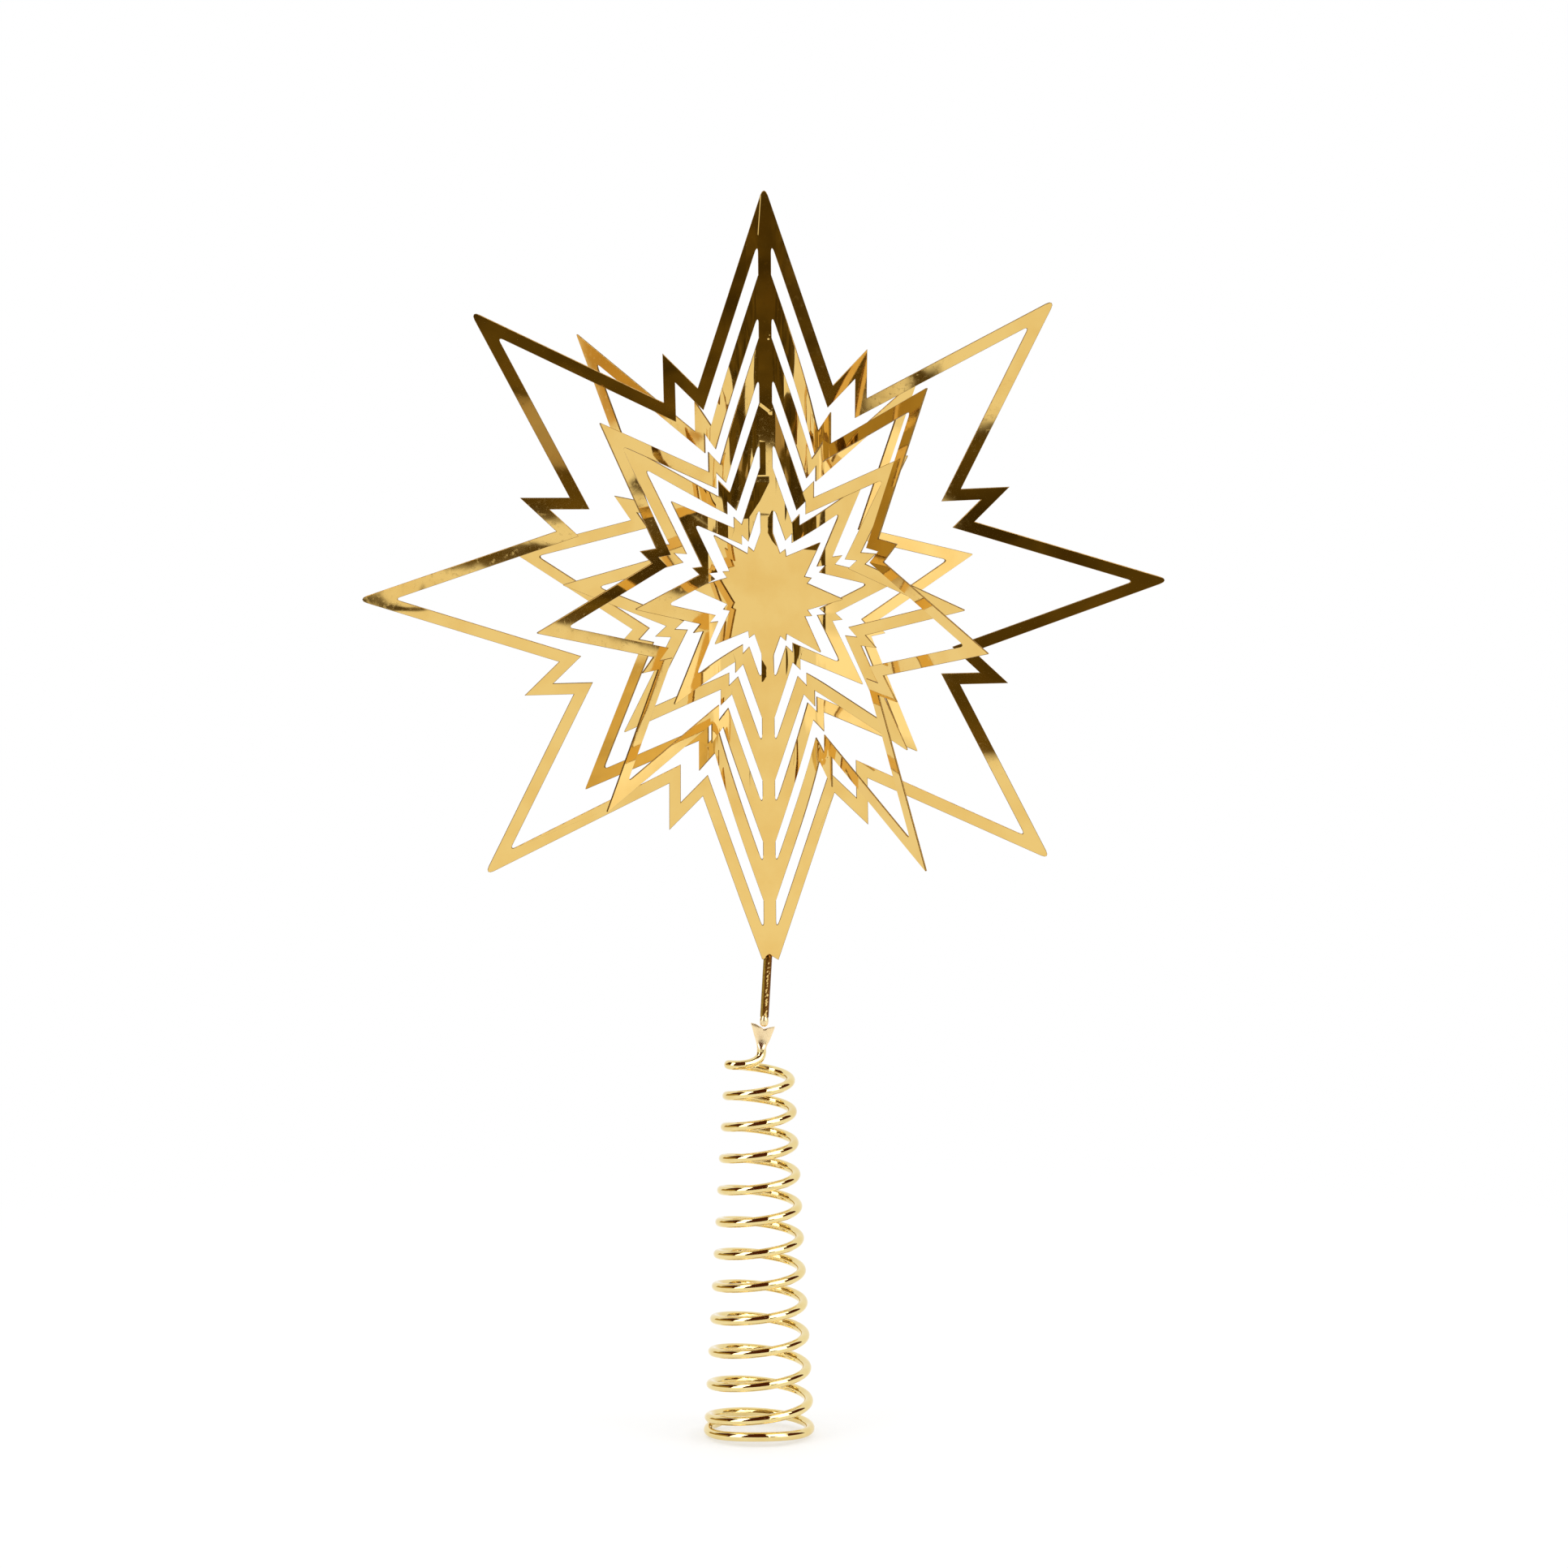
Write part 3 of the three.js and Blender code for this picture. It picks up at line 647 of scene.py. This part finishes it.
def pullFoot(sheet, low, high, drop):
    # the foot's edges between two places across it are drawn down
    shoulder = blade["shoulder"] - ringSizes["outer"]["point"]
    pick(sheet, lambda e: all(level(v, shoulder) for v in e.verts)
         and low * mm < (e.verts[0].co.x + e.verts[1].co.x) / 2 < high * mm, "edges")
    bpy.ops.mesh.extrude_region_move(TRANSFORM_OT_translate={"value": (0, 0, -drop * mm)})


def growBlade(sheet):
    # the tab that goes into the tube, the prong right of it, and the left corner cut back to meet the tube
    shoulder = blade["shoulder"] - ringSizes["outer"]["point"]
    prong = blade["prong"] - ringSizes["outer"]["point"]
    slope = math.tan(rad(star["pointHalf"]))
    for x in (-blade["tabWidth"], 0, blade["notch"]):
        cut(x * mm)
    pullFoot(sheet, -blade["tabWidth"], 0, blade["shoulder"] - blade["tabFoot"])
    pullFoot(sheet, blade["notch"], math.inf, blade["shoulder"] - blade["prong"])
    pick(sheet, lambda v: level(v, prong) and v.co.x > 0)
    bpy.ops.mesh.merge(type="COLLAPSE")
    pick(sheet, lambda v: level(v, prong) and v.co.x > 0)
    tip = [v for v in bmesh.from_edit_mesh(sheet.data).verts if v.select][0]
    bpy.ops.transform.translate(value=Vector((blade["prong"] * slope * mm, 0, prong * mm)) - tip.co)
    pullFoot(sheet, -math.inf, -blade["tabWidth"], blade["leftDrop"])
    for z, across in ((shoulder - blade["leftDrop"], blade["leftDrop"] * slope + blade["cornerIn"]),
                      (shoulder, blade["cornerIn"])):
        pick(sheet, lambda v: level(v, z) and v.co.x < -blade["cornerFrom"] * mm)
        bpy.ops.transform.translate(value=(across * mm, 0, 0))


def makeFrame():
    sizes = ringSizes["outer"]
    right = halfWindow(sizes)
    left = mirrorCopy(right)
    face = starFace(sizes["point"], sizes["spike"])
    setMode("EDIT")
    # everything under the foot's shoulder goes, and growBlade brings back what shows
    cutLevel(blade["shoulder"] - sizes["point"], clear=True)
    roundTips(face, sizes["point"], star["outerTip"])
    openUp(face)
    sheet = fillBetween(face, right, left)
    setMode("EDIT")
    for z in [centre["neckEnd"]] + [z for ends in ringSeams() for z in ends]:
        cutLevel(z)
        cutLevel(-z)
    pick(sheet, lambda f: abs(f.calc_center_median().x) < star["spine"] * mm
         and abs(f.calc_center_median().z) < centre["neckEnd"] * mm, "faces")
    bpy.ops.mesh.delete(type="FACE")
    dropLoose(sheet)
    growBlade(sheet)
    setMode("OBJECT")
    bend(sheet, -1, evenFold(sizes["left"], *frameFolds["left"]))
    bend(sheet, 1, evenFold(sizes["right"], *frameFolds["right"]))
    thicken(sheet)
    standUp(sheet)
    finish(sheet, "star_frame_sheet", "topper_frame", "polished_sheet", frameMetal, edgeMetal)
    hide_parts("star_frame")


makeFrame()
print("outer star cut")


def makeCentre():
    # the flat plate of the middle star, cut off at its two necks
    face = starFace(centre["point"], centre["spike"], centre["pointHalf"], centre["spikeHalf"])
    shoulder = centre["neckShoulder"]
    setMode("EDIT")
    for z, up in ((shoulder, -1), (-shoulder, 1)):
        cutLevel(z, up, clear=True)
    roundTips(face, centre["point"], star["innerTip"], centre["pointHalf"])
    setMode("OBJECT")
    return face


def makeNeck(up):
    # strip from the spine's end in to the plate, twisted a little more at each step
    root, full = centre["neckEnd"], centre["neckShoulder"]
    deselectAll()
    bpy.ops.mesh.primitive_plane_add(size=1, rotation=(math.pi / 2, 0, 0))
    neck = bpy.context.object
    neck.scale = (2 * star["spine"] * mm, (root - full) * mm, 1)
    neck.location = (0, 0, up * (root + full) / 2 * mm)
    bpy.ops.object.transform_apply(location=True, rotation=True, scale=True)
    setMode("EDIT")
    steps = centre["neckSteps"]
    heights = [root + (full - root) * i / steps for i in range(1, steps)]
    for z in heights:
        cutLevel(up * z)
    slopeWidth = lambda z: max(star["spine"], (centre["point"] - z) * math.tan(rad(centre["pointHalf"])))
    for z in heights + [full]:
        share = min(1, (root - z) / (root - full))
        pick(neck, lambda v: level(v, up * z))
        wide = slopeWidth(z) / star["spine"]
        bpy.ops.transform.resize(value=(wide, 1, 1), center_override=(0, 0, 0))
        smooth = share * share * (3 - 2 * share)
        turn(-centre["turn"] * smooth, "Z", (0, 0, 0))
    setMode("OBJECT")
    return neck


def buildCentre():
    plate = makeCentre()
    use(plate)
    setMode("EDIT")
    selectMesh()
    turn(-centre["turn"], "Z", (0, 0, 0))
    setMode("OBJECT")
    thicken(plate)
    standUp(plate)
    finish(plate, "centre_star_plate", "centre_star", "polished_sheet", plateMetal, edgeMetal)
    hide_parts("centre_star")
    for up, name in ((1, "centre_star_neck_top"), (-1, "centre_star_neck_foot")):
        neck = makeNeck(up)
        thicken(neck)
        standUp(neck)
        finish(neck, name, None, "polished_sheet", plateMetal, edgeMetal)
        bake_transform(neck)


buildCentre()
print("centre star turned on its necks")


# the wire's radius, the coil's heights and radii, and the riser with the hook that leads to the first turn
coil = {"wire": 1.06, "wireSteps": 6, "turns": 11, "top": 84.6, "mouth": 3.92, "growth": 0.04,
        "topRadius": 6.85, "mouthRadius": 11.4, "closedTurns": 1.1, "closedDrop": 2.86, "frontLift": 0.9,
        "closedWidening": 0.2, "steps": 48, "riser": (0.55, -0.1, 88.1), "riserStraight": 0.7,
        "hookBend": (-0.2, -0.5, -3.4), "hookSweep": (0.5, -4.2, 0.5), "hookSteps": 16}


def coilPoint(n):
    share = n / coil["turns"]
    if n <= coil["turns"]:
        eased = share + coil["growth"] * (share * share - share)
        height = coil["top"] + (coil["mouth"] - coil["top"]) * eased
        radius = coil["topRadius"] + (coil["mouthRadius"] - coil["topRadius"]) * share
    else:
        # the pitch dies away over the last turn, which rises a little again at the front
        part = n - coil["turns"]
        height = coil["mouth"] - coil["closedDrop"] * (1 - (1 - part) ** 3)
        if 0.5 < part < 1:
            height += coil["frontLift"] * math.sin(2 * math.pi * part) ** 2
        radius = coil["mouthRadius"] + coil["closedWidening"] * part
    angle = math.pi - 2 * math.pi * n
    return Vector((radius * math.cos(angle), radius * math.sin(angle), height))


def makeCoil():
    riser = Vector(coil["riser"])
    riserFoot = riser - Vector((0, 0, coil["riserStraight"]))
    start = coilPoint(0)
    handles = [riserFoot, riserFoot + Vector(coil["hookBend"]), start + Vector(coil["hookSweep"]), start]
    points = [riser, riser.lerp(riserFoot, 0.5)]
    for i in range(coil["hookSteps"]):
        t = i / coil["hookSteps"]
        points.append(handles[0] * (1 - t) ** 3 + handles[1] * 3 * (1 - t) ** 2 * t
                      + handles[2] * 3 * (1 - t) * t * t + handles[3] * t ** 3)
    steps = round((coil["turns"] + coil["closedTurns"]) * coil["steps"])
    points += [coilPoint(i / coil["steps"]) for i in range(steps + 1)]
    curve = bpy.data.curves.new("coil_wire", "CURVE")
    curve.dimensions = "3D"
    line = curve.splines.new("POLY")
    line.points.add(len(points) - 1)
    for p, at in zip(line.points, points):
        p.co = (*(at * mm), 1)
    curve.bevel_depth = coil["wire"] * mm
    curve.bevel_resolution = coil["wireSteps"]
    curve.use_fill_caps = True
    obj = bpy.data.objects.new("coil_wire", curve)
    bpy.context.scene.collection.objects.link(obj)
    use(obj)
    bpy.ops.object.convert(target="MESH")
    obj = bpy.context.object
    finish(obj, "coil_wire", "topper_frame", "coil_wire", brightWire, smoothAngle=60)
    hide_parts("coil")


makeCoil()
print("coil wound")

# the stem is sheet rolled into a tube with its edges lapped; its own frame stands on the bead
# the front column where glints are painted as bright flecks is given by its angle round the tube and its half
# width, in degrees
stem = {"foot": (1.2, -0.3, 95.7), "up": (0.05766, -0.06379, 1), "radius": 0.98, "wall": 0.2, "length": 13.35,
        "sides": 72, "rings": 26, "edge": 0.03, "sharp": 60, "glintAt": 287, "glintWide": 38,
        # the seam's angle, how far back the edge under it is tucked and by what share, and by how much of a
        # column it goes past
        "lapStart": 241, "tuck": 62, "under": 0.1, "past": 0.2,
        # angle round the tube from +X and how far its ends lie over or under, mm
        "topCut": [(0, 0.35), (30, 0), (175, -0.3), (236, -0.3), (241, 0.1), (290, 0.75), (335, 0.65),
                   (361, 0.35)],
        "footCut": [(0, -0.1), (180, -0.2), (225, -0.1), (262, 0.45), (300, -0.05), (330, -0.25), (361, -0.1)]}


def stemStand(obj):
    obj.rotation_mode = "QUATERNION"
    obj.rotation_quaternion = Vector((0, 0, 1)).rotation_difference(Vector(stem["up"]))
    obj.location = Vector(stem["foot"]) * mm


def readOff(table, at):
    # a value between the two rows of (place, value) on either side
    i = max(k for k in range(len(table) - 1) if table[k][0] <= at)
    (low, first), (high, second) = table[i], table[i + 1]
    t = (at - low) / (high - low)
    return first * (1 - t) + second * t


def makeStem():
    # a tube without ends; the strip on the left of the seam is pushed in under the other edge
    deselectAll()
    bpy.ops.mesh.primitive_cylinder_add(vertices=stem["sides"], radius=(stem["radius"] - stem["wall"] / 2) * mm,
                                        depth=stem["length"] * mm, end_fill_type="NOTHING",
                                        location=(0, 0, stem["length"] / 2 * mm))
    tube = bpy.context.object
    bpy.ops.object.transform_apply(location=True)
    setMode("EDIT")
    for i in range(1, stem["rings"]):
        cutLevel(stem["length"] * i / stem["rings"])
    around = lambda co: math.degrees(math.atan2(co.y, co.x)) % 360
    # the seam: one column of faces goes, and what is left of it steps in
    step = 360 / stem["sides"]
    pick(tube, lambda f: abs(around(f.calc_center_median()) - stem["lapStart"] - step / 2) < step / 2, "faces")
    bpy.ops.mesh.delete(type="ONLY_FACE")
    tuckFrom = stem["lapStart"] - stem["tuck"]
    pick(tube, lambda v: tuckFrom < around(v.co) < stem["lapStart"] + stem["past"] * step)
    for v in [v for v in bmesh.from_edit_mesh(tube.data).verts if v.select]:
        inward = 1 - stem["under"] * ((around(v.co) - tuckFrom) / stem["tuck"]) ** 2
        v.co.x *= inward
        v.co.y *= inward
    bmesh.update_edit_mesh(tube.data)
    # the top end steps down left of the seam and laps up over the blade right of it; the foot leaves a notch
    for end, heights in ((stem["length"], stem["topCut"]), (0, stem["footCut"])):
        pick(tube, lambda v: level(v, end))
        for v in [v for v in bmesh.from_edit_mesh(tube.data).verts if v.select]:
            v.co.z += readOff(heights, around(v.co)) * mm
        bmesh.update_edit_mesh(tube.data)
    setMode("OBJECT")
    wall = tube.modifiers.new("wall", "SOLIDIFY")
    wall.thickness = stem["wall"] * mm
    wall.offset = 0
    wall.use_even_offset = True
    bake(tube, wall)
    setMode("EDIT")
    outward()
    pick(tube, lambda e: sharpEdge(e, stem["sharp"]), "edges")
    bpy.ops.mesh.bevel(offset=stem["edge"] * mm, segments=2, affect="EDGES")
    setMode("OBJECT")
    # the column down the front of the tube where glints are painted in as bright flecks
    glintShares = tube.data.attributes.new("glint_column", "FLOAT", "POINT")
    for mark, v in zip(glintShares.data, tube.data.vertices):
        mark.value = max(0, 1 - abs(around(v.co) - stem["glintAt"]) / stem["glintWide"])
    for f in tube.data.polygons:
        f.material_index = 1 if tuckFrom < around(f.center) < stem["lapStart"] else 0
    stemStand(tube)
    finish(tube, "stem_rolled_tube", "topper_frame", "rolled_stem", glintFleckedStem, lappedStem, smoothAngle=40)
    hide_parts("stem_tube")


# the bead: heights above the tube's end, and radii, from the round end up into the bore; solder never sets
# quite round, so its front sags a little
bead = {"profile": [(-2.42, 0.25), (-2.33, 0.5), (-2.12, 0.74), (-1.75, 0.92), (-1.3, 0.985), (-0.8, 0.97),
                    (-0.4, 0.9), (-0.15, 0.79), (0.6, 0.76), (0.75, 0.6), (2.1, 0.6), (2.18, 0.52)],
        "sides": 48, "sag": 0.018, "sagUnder": -0.5}


def makeBead():
    drop = ringedCylinder([z for z, radius in bead["profile"]], bead["sides"])
    for z, radius in bead["profile"]:
        resizeLevel(drop, z, radius, radius)
    pick(drop, lambda v: v.co.z < bead["sagUnder"] * mm and v.co.y < 0)
    bpy.ops.transform.translate(value=(0, -bead["sag"] * mm, -bead["sag"] * mm))
    setMode("OBJECT")
    stemStand(drop)
    finish(drop, "solder_bead_drop", "topper_frame", "solder_bead", brightBead, smoothAngle=60)
    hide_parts("solder_bead")


# the fishtail: the wire's end beaten flat and split; rows are height, left, right, half thickness
clip = {"foot": (0.55, -0.1, 88.4), "lean": (6, 2.5, 0), "sides": 40, "sharp": 50, "edge": 0.05,
        "rows": [(-0.28, 1.05, 1.05, 1.05), (0.1, 1.06, 1.08, 1.0), (0.5, 1.1, 1.16, 0.82),
                 (0.9, 1.18, 1.32, 0.64), (1.4, 1.31, 1.56, 0.51), (2.2, 1.55, 1.9, 0.43),
                 (3.1, 1.86, 2.2, 0.38), (4.0, 2.12, 2.5, 0.36), (4.6, 2.32, 2.7, 0.35), (5.75, 2.72, 3.0, 0.33)],
        # the notch and the prongs' ends as x and z; past the prongs the wedge rises and runs out
        "notch": (0.35, 4.4), "left": (-2.72, 5.75), "leftIn": (-1.5, 5.5), "right": (2.9, 5.15),
        "rightIn": (1.6, 4.85), "leftRise": 0.55, "rightRise": 0.25,
        "wedgeHalf": 3.6, "wedgeTop": 7.5, "wedgeDeep": 6}


def makeWedge():
    half, top = clip["wedgeHalf"], clip["wedgeTop"]
    outline = [(-half, top), (-half, clip["left"][1] + clip["leftRise"]), clip["left"], clip["leftIn"],
               clip["notch"], clip["rightIn"], clip["right"], (half, clip["right"][1] + clip["rightRise"]),
               (half, top)]
    wedge = polygon([(x * mm, -clip["wedgeDeep"] / 2 * mm, z * mm) for x, z in outline])
    bpy.ops.mesh.extrude_region_move(TRANSFORM_OT_translate={"value": (0, clip["wedgeDeep"] * mm, 0)})
    outward()
    setMode("OBJECT")
    return wedge


def makeClip():
    fork = ringedCylinder([row[0] for row in clip["rows"]], clip["sides"])
    for z, left, right, deep in clip["rows"]:
        resizeLevel(fork, z, left, test=lambda v: v.co.x < -1e-7)
        resizeLevel(fork, z, right, test=lambda v: v.co.x > 1e-7)
        resizeLevel(fork, z, y=deep)
    setMode("OBJECT")
    wedge = makeWedge()
    notch = fork.modifiers.new("notch", "BOOLEAN")
    notch.operation = "DIFFERENCE"
    notch.solver = "EXACT"
    notch.object = wedge
    bake(fork, notch)
    bpy.data.objects.remove(wedge)
    use(fork)
    setMode("EDIT")
    selectMesh()
    bpy.ops.mesh.remove_doubles(threshold=1e-6)
    pick(fork, lambda e: sharpEdge(e, clip["sharp"]), "edges")
    bpy.ops.mesh.bevel(offset=clip["edge"] * mm, segments=2, affect="EDGES")
    setMode("OBJECT")
    fork.rotation_euler = [rad(a) for a in clip["lean"]]
    fork.location = Vector(clip["foot"]) * mm
    finish(fork, "fishtail_blade", "topper_frame", "clip_sheet", satinClip, smoothAngle=40)
    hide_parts("fishtail_clip")


makeStem()
makeBead()
makeClip()
print("stem, bead and fishtail made")


# floor, light and background; the cards are seen by nothing but the polished metal
studio = {
    "floorSize": 6, "floorColour": (0.96, 0.96, 0.96, 1), "floorDrop": 0.3, "floorRough": 0.8,
    # the floor fades to plain white between these distances, and is this white already in the middle
    "fadeStart": 0.1, "fadeEnd": 0.36, "fadeLeast": 0.5,
    "ambient": 0.96, "lampAim": (0, 0, 0.12), "cardLift": 0.0006, "cardStep": 0.0002,
    # name: place, size, watts
    "lamps": {"key_lamp": ((-0.75, -0.55, 1.15), (0.5, 0.35), 2.4),
              "fill_lamp": ((0.8, -0.35, 1.0), (0.5, 0.35), 2.2)},
}
# dark walls are never one even tone; the darkest, under this red, vary the most
cloudy = {"scale": 22, "from": 0.36, "gain": 3.2, "darkUnder": 0.2, "darkSpread": 0.6, "spread": 0.15,
          "less": 0.75, "more": 1.25}
darkTone = (0.085, 0.055, 0.01, 1)
brownTone = (0.43, 0.28, 0.062, 1)
amberTone = (0.61, 0.38, 0.11, 1)
oliveTone = (0.75, 0.58, 0.27, 1)
midTone = (0.46, 0.36, 0.22, 1)
paleTone = (1.25, 1.25, 1.3, 1)
windowTone = (3.5, 3.5, 3.6, 1)
roomTone = (0.075, 0.018, 0.005, 1)
# flat cards lie just over the floor, given by x and y; the others are given by all three
flatCards = {
    "card_front": (darkTone, 0.005, [
        (-0.75, -0.60), (-0.35, -0.545), (-0.2, -0.497), (-0.07, -0.506), (-0.02, -0.504), (0.0, -0.525),
        (0.075, -0.572), (0.2, -0.50), (0.27, -0.42), (0.47, -0.32), (0.48, -0.36), (0.45, -0.43),
        (0.47, -0.50), (0.42, -0.59), (0.24, -0.585), (0.188, -0.588), (0.188, -0.603), (0.222, -0.606),
        (0.226, -0.655), (0.2, -0.66), (0.2, -0.78), (0.15, -0.85), (0.15, -1.6), (-1.2, -1.6), (-1.2, -0.7)]),
    "card_left_olive": (midTone, 0.006, [(-0.09, -0.634), (-0.02, -0.634), (-0.02, -0.548), (-0.09, -0.548)]),
    "card_left_stripe": (darkTone, 0.003, [(-0.08, -0.489), (-0.03, -0.489), (-0.03, -0.472), (-0.08, -0.47)]),
    "card_left_tip": (darkTone, 0.002, [(-0.11, -0.452), (-0.07, -0.452), (-0.07, -0.439), (-0.11, -0.439)]),
    "card_right_strip": (darkTone, 0.006, [(0.605, -0.09), (0.605, -0.18), (0.80, -0.19), (0.81, -0.12)]),
    "card_right_patch": (darkTone, 0.006, [(0.53, -0.24), (0.53, -0.277), (0.557, -0.285), (0.575, -0.318),
                                           (0.67, -0.318), (0.7, -0.24)]),
    "card_left_far": (amberTone, 0.01, [(-1.4, -0.14), (-1.06, -0.12), (-1.06, -0.05), (-1.4, -0.05)]),
    "card_left_brown": (oliveTone, 0.01, [(-0.66, -0.1), (-0.48, -0.1), (-0.48, 0.03), (-0.66, 0.03)]),
    "card_pale_near": (paleTone, 0.03, [(0.35, -0.33), (0.5, -0.33), (0.5, -0.08), (0.35, -0.08)]),
    "card_pale_far": (paleTone, 0.02, [(0.6, -0.07), (1.2, -0.07), (1.2, 0.06), (0.6, 0.06)]),
}
otherCards = {
    "card_right_front": (darkTone, 0.004, [(0.125, -0.3, 0.004), (0.15, -0.3, 0.004), (0.25, -0.3, 0.05),
                                           (0.25, -0.3, 0.115), (0.125, -0.3, 0.115)]),
    "card_left_low": (brownTone, 0.01, [(-0.95, -0.3, 0.065), (-0.95, 0.1, 0.065), (-0.95, 0.1, 0.4),
                                        (-0.95, -0.3, 0.4)]),
    "card_left_back": (brownTone, 0.01, [(-0.95, 0.09, 0.01), (-0.95, 0.8, 0.01), (-0.95, 0.8, 0.4),
                                         (-0.95, 0.09, 0.4)]),
}


# the room round the studio, for the wire; each wall has its tone, its rim, where it begins and ends in degrees
# from the front to the right, and its lowest and highest degrees
room = {"middle": (0, 0, 0.05), "radius": 1.8}
roomCards = {
    "room_front": (roomTone, 0.02, (-38, 21), (0, 62)),
    "room_left": (roomTone, 0.02, (-118, -64), (0, 50)),
    "room_right": (roomTone, 0.02, (64, 112), (6, 50)),
    "window_left": (windowTone, 0.03, (-64, -38), (0, 54)),
    "window_right": (windowTone, 0.03, (21, 64), (0, 62)),
}
roof = (roomTone, 0.03, [(-1.9, -0.9, 3.3), (-1.2, -1.7, 3.3), (0.9, -1.7, 3.3), (0.7, -0.9, 3.3),
                         (0.2, -0.1, 3.3), (-0.2, -0.1, 3.3)])


def roomCorners(compass, height):
    at = lambda a, h: Vector(room["middle"]) + room["radius"] * Vector((math.sin(rad(a)), -math.cos(rad(a)),
                                                                        math.tan(rad(h))))
    (a, b), (low, high) = compass, height
    return [at(a, low), at(b, low), at(b, high), at(a, high)]


def cameraLike(f):
    # 1 for the rays that show the background, 0 for those that light the object
    path = f.node("ShaderNodeLightPath")
    seen = f.value(path.outputs["Is Camera Ray"]) + f.value(path.outputs["Is Glossy Ray"])
    return (seen + f.value(path.outputs["Is Transmission Ray"])).limit(0, 1)


def makeFloor():
    deselectAll()
    bpy.ops.mesh.primitive_plane_add(size=studio["floorSize"], location=(0, 0, -studio["floorDrop"] * mm))
    floor = bpy.context.object
    floor.name = "pale_floor"
    f = Finish("pale_floor", **{"Base Color": studio["floorColour"], "Roughness": studio["floorRough"],
                                "Specular IOR Level": 0})
    place = f.node("ShaderNodeTexCoord").outputs["Object"]
    away = f.value(f.node("ShaderNodeVectorMath", {"operation": "LENGTH"}, Vector=place).outputs["Value"])
    far = ((away - studio["fadeStart"]) * (1 / (studio["fadeEnd"] - studio["fadeStart"]))).limit(0, 1)
    white = f.node("ShaderNodeEmission", Color=(1, 1, 1, 1), Strength=1.0)
    least = studio["fadeLeast"]
    f.surface((least + far * (1 - least)) * cameraLike(f), f.shader, white)
    floor.data.materials.append(f.material)


def makeCard(name, tone, softness, corners):
    # a flat face with a soft rim that fades out
    card = polygon(corners)
    card.name = name
    bpy.ops.mesh.inset(thickness=softness)
    inner = {v.index for v in bmesh.from_edit_mesh(card.data).verts if v.select}
    setMode("OBJECT")
    solid = card.data.attributes.new("solid", "FLOAT", "POINT")
    for i, v in enumerate(card.data.vertices):
        solid.data[i].value = 1.0 if i in inner else 0.0
    f = Finish(name)
    rim = f.node("ShaderNodeAttribute", {"attribute_name": "solid"}).outputs["Fac"]
    glow = f.node("ShaderNodeEmission", Color=tone, Strength=1.0)
    if tone[0] < 1:
        place = f.node("ShaderNodeTexCoord").outputs["Object"]
        cloud = f.value(f.node("ShaderNodeTexNoise", Vector=place, Scale=cloudy["scale"], Detail=4.0,
                               Roughness=0.6).outputs["Fac"])
        spread = cloudy["darkSpread" if tone[0] < cloudy["darkUnder"] else "spread"]
        darker, lighter = ([c * part for c in tone[:3]] + [1]
                           for part in (1 - cloudy["less"] * spread, 1 + cloudy["more"] * spread))
        f.link(f.mixColours(((cloud - cloudy["from"]) * cloudy["gain"]).limit(0, 1), darker, lighter),
               glow.inputs["Color"])
    f.surface(rim, f.node("ShaderNodeBsdfTransparent"), glow)
    card.data.materials.append(f.material)
    card.visible_camera = card.visible_diffuse = card.visible_shadow = False
    card.visible_transmission = card.visible_volume_scatter = False


def makeLamps():
    for name, (place, size, watts) in studio["lamps"].items():
        deselectAll()
        bpy.ops.object.light_add(type="AREA", location=place)
        lamp = bpy.context.object
        lamp.name = name
        lamp.data.shape = "RECTANGLE"
        lamp.data.size, lamp.data.size_y = size
        lamp.data.energy = watts
        aim = Vector(studio["lampAim"]) - Vector(place)
        lamp.rotation_euler = aim.to_track_quat("-Z", "Y").to_euler()


def makeWorld():
    world = bpy.data.worlds.new("studio")
    bpy.context.scene.world = world
    world.use_nodes = True
    background = world.node_tree.nodes["Background"]
    background.inputs["Color"].default_value = (1, 1, 1, 1)
    f = Finish.__new__(Finish)
    f.tree = world.node_tree
    ambient = studio["ambient"]
    f.link(ambient + (1 - ambient) * cameraLike(f), background.inputs["Strength"])


makeFloor()
for i, (name, (tone, softness, corners)) in enumerate(flatCards.items()):
    # a little over each other, so that none lie in one plane
    makeCard(name, tone, softness, [(x, y, studio["cardLift"] + studio["cardStep"] * i) for x, y in corners])
for name, (tone, softness, corners) in otherCards.items():
    makeCard(name, tone, softness, corners)
for name, (tone, softness, compass, height) in roomCards.items():
    makeCard(name, tone, softness, roomCorners(compass, height))
makeCard("room_roof", *roof)
makeLamps()
makeWorld()
bpy.context.scene.view_settings.view_transform = "Standard"
print("studio lit")
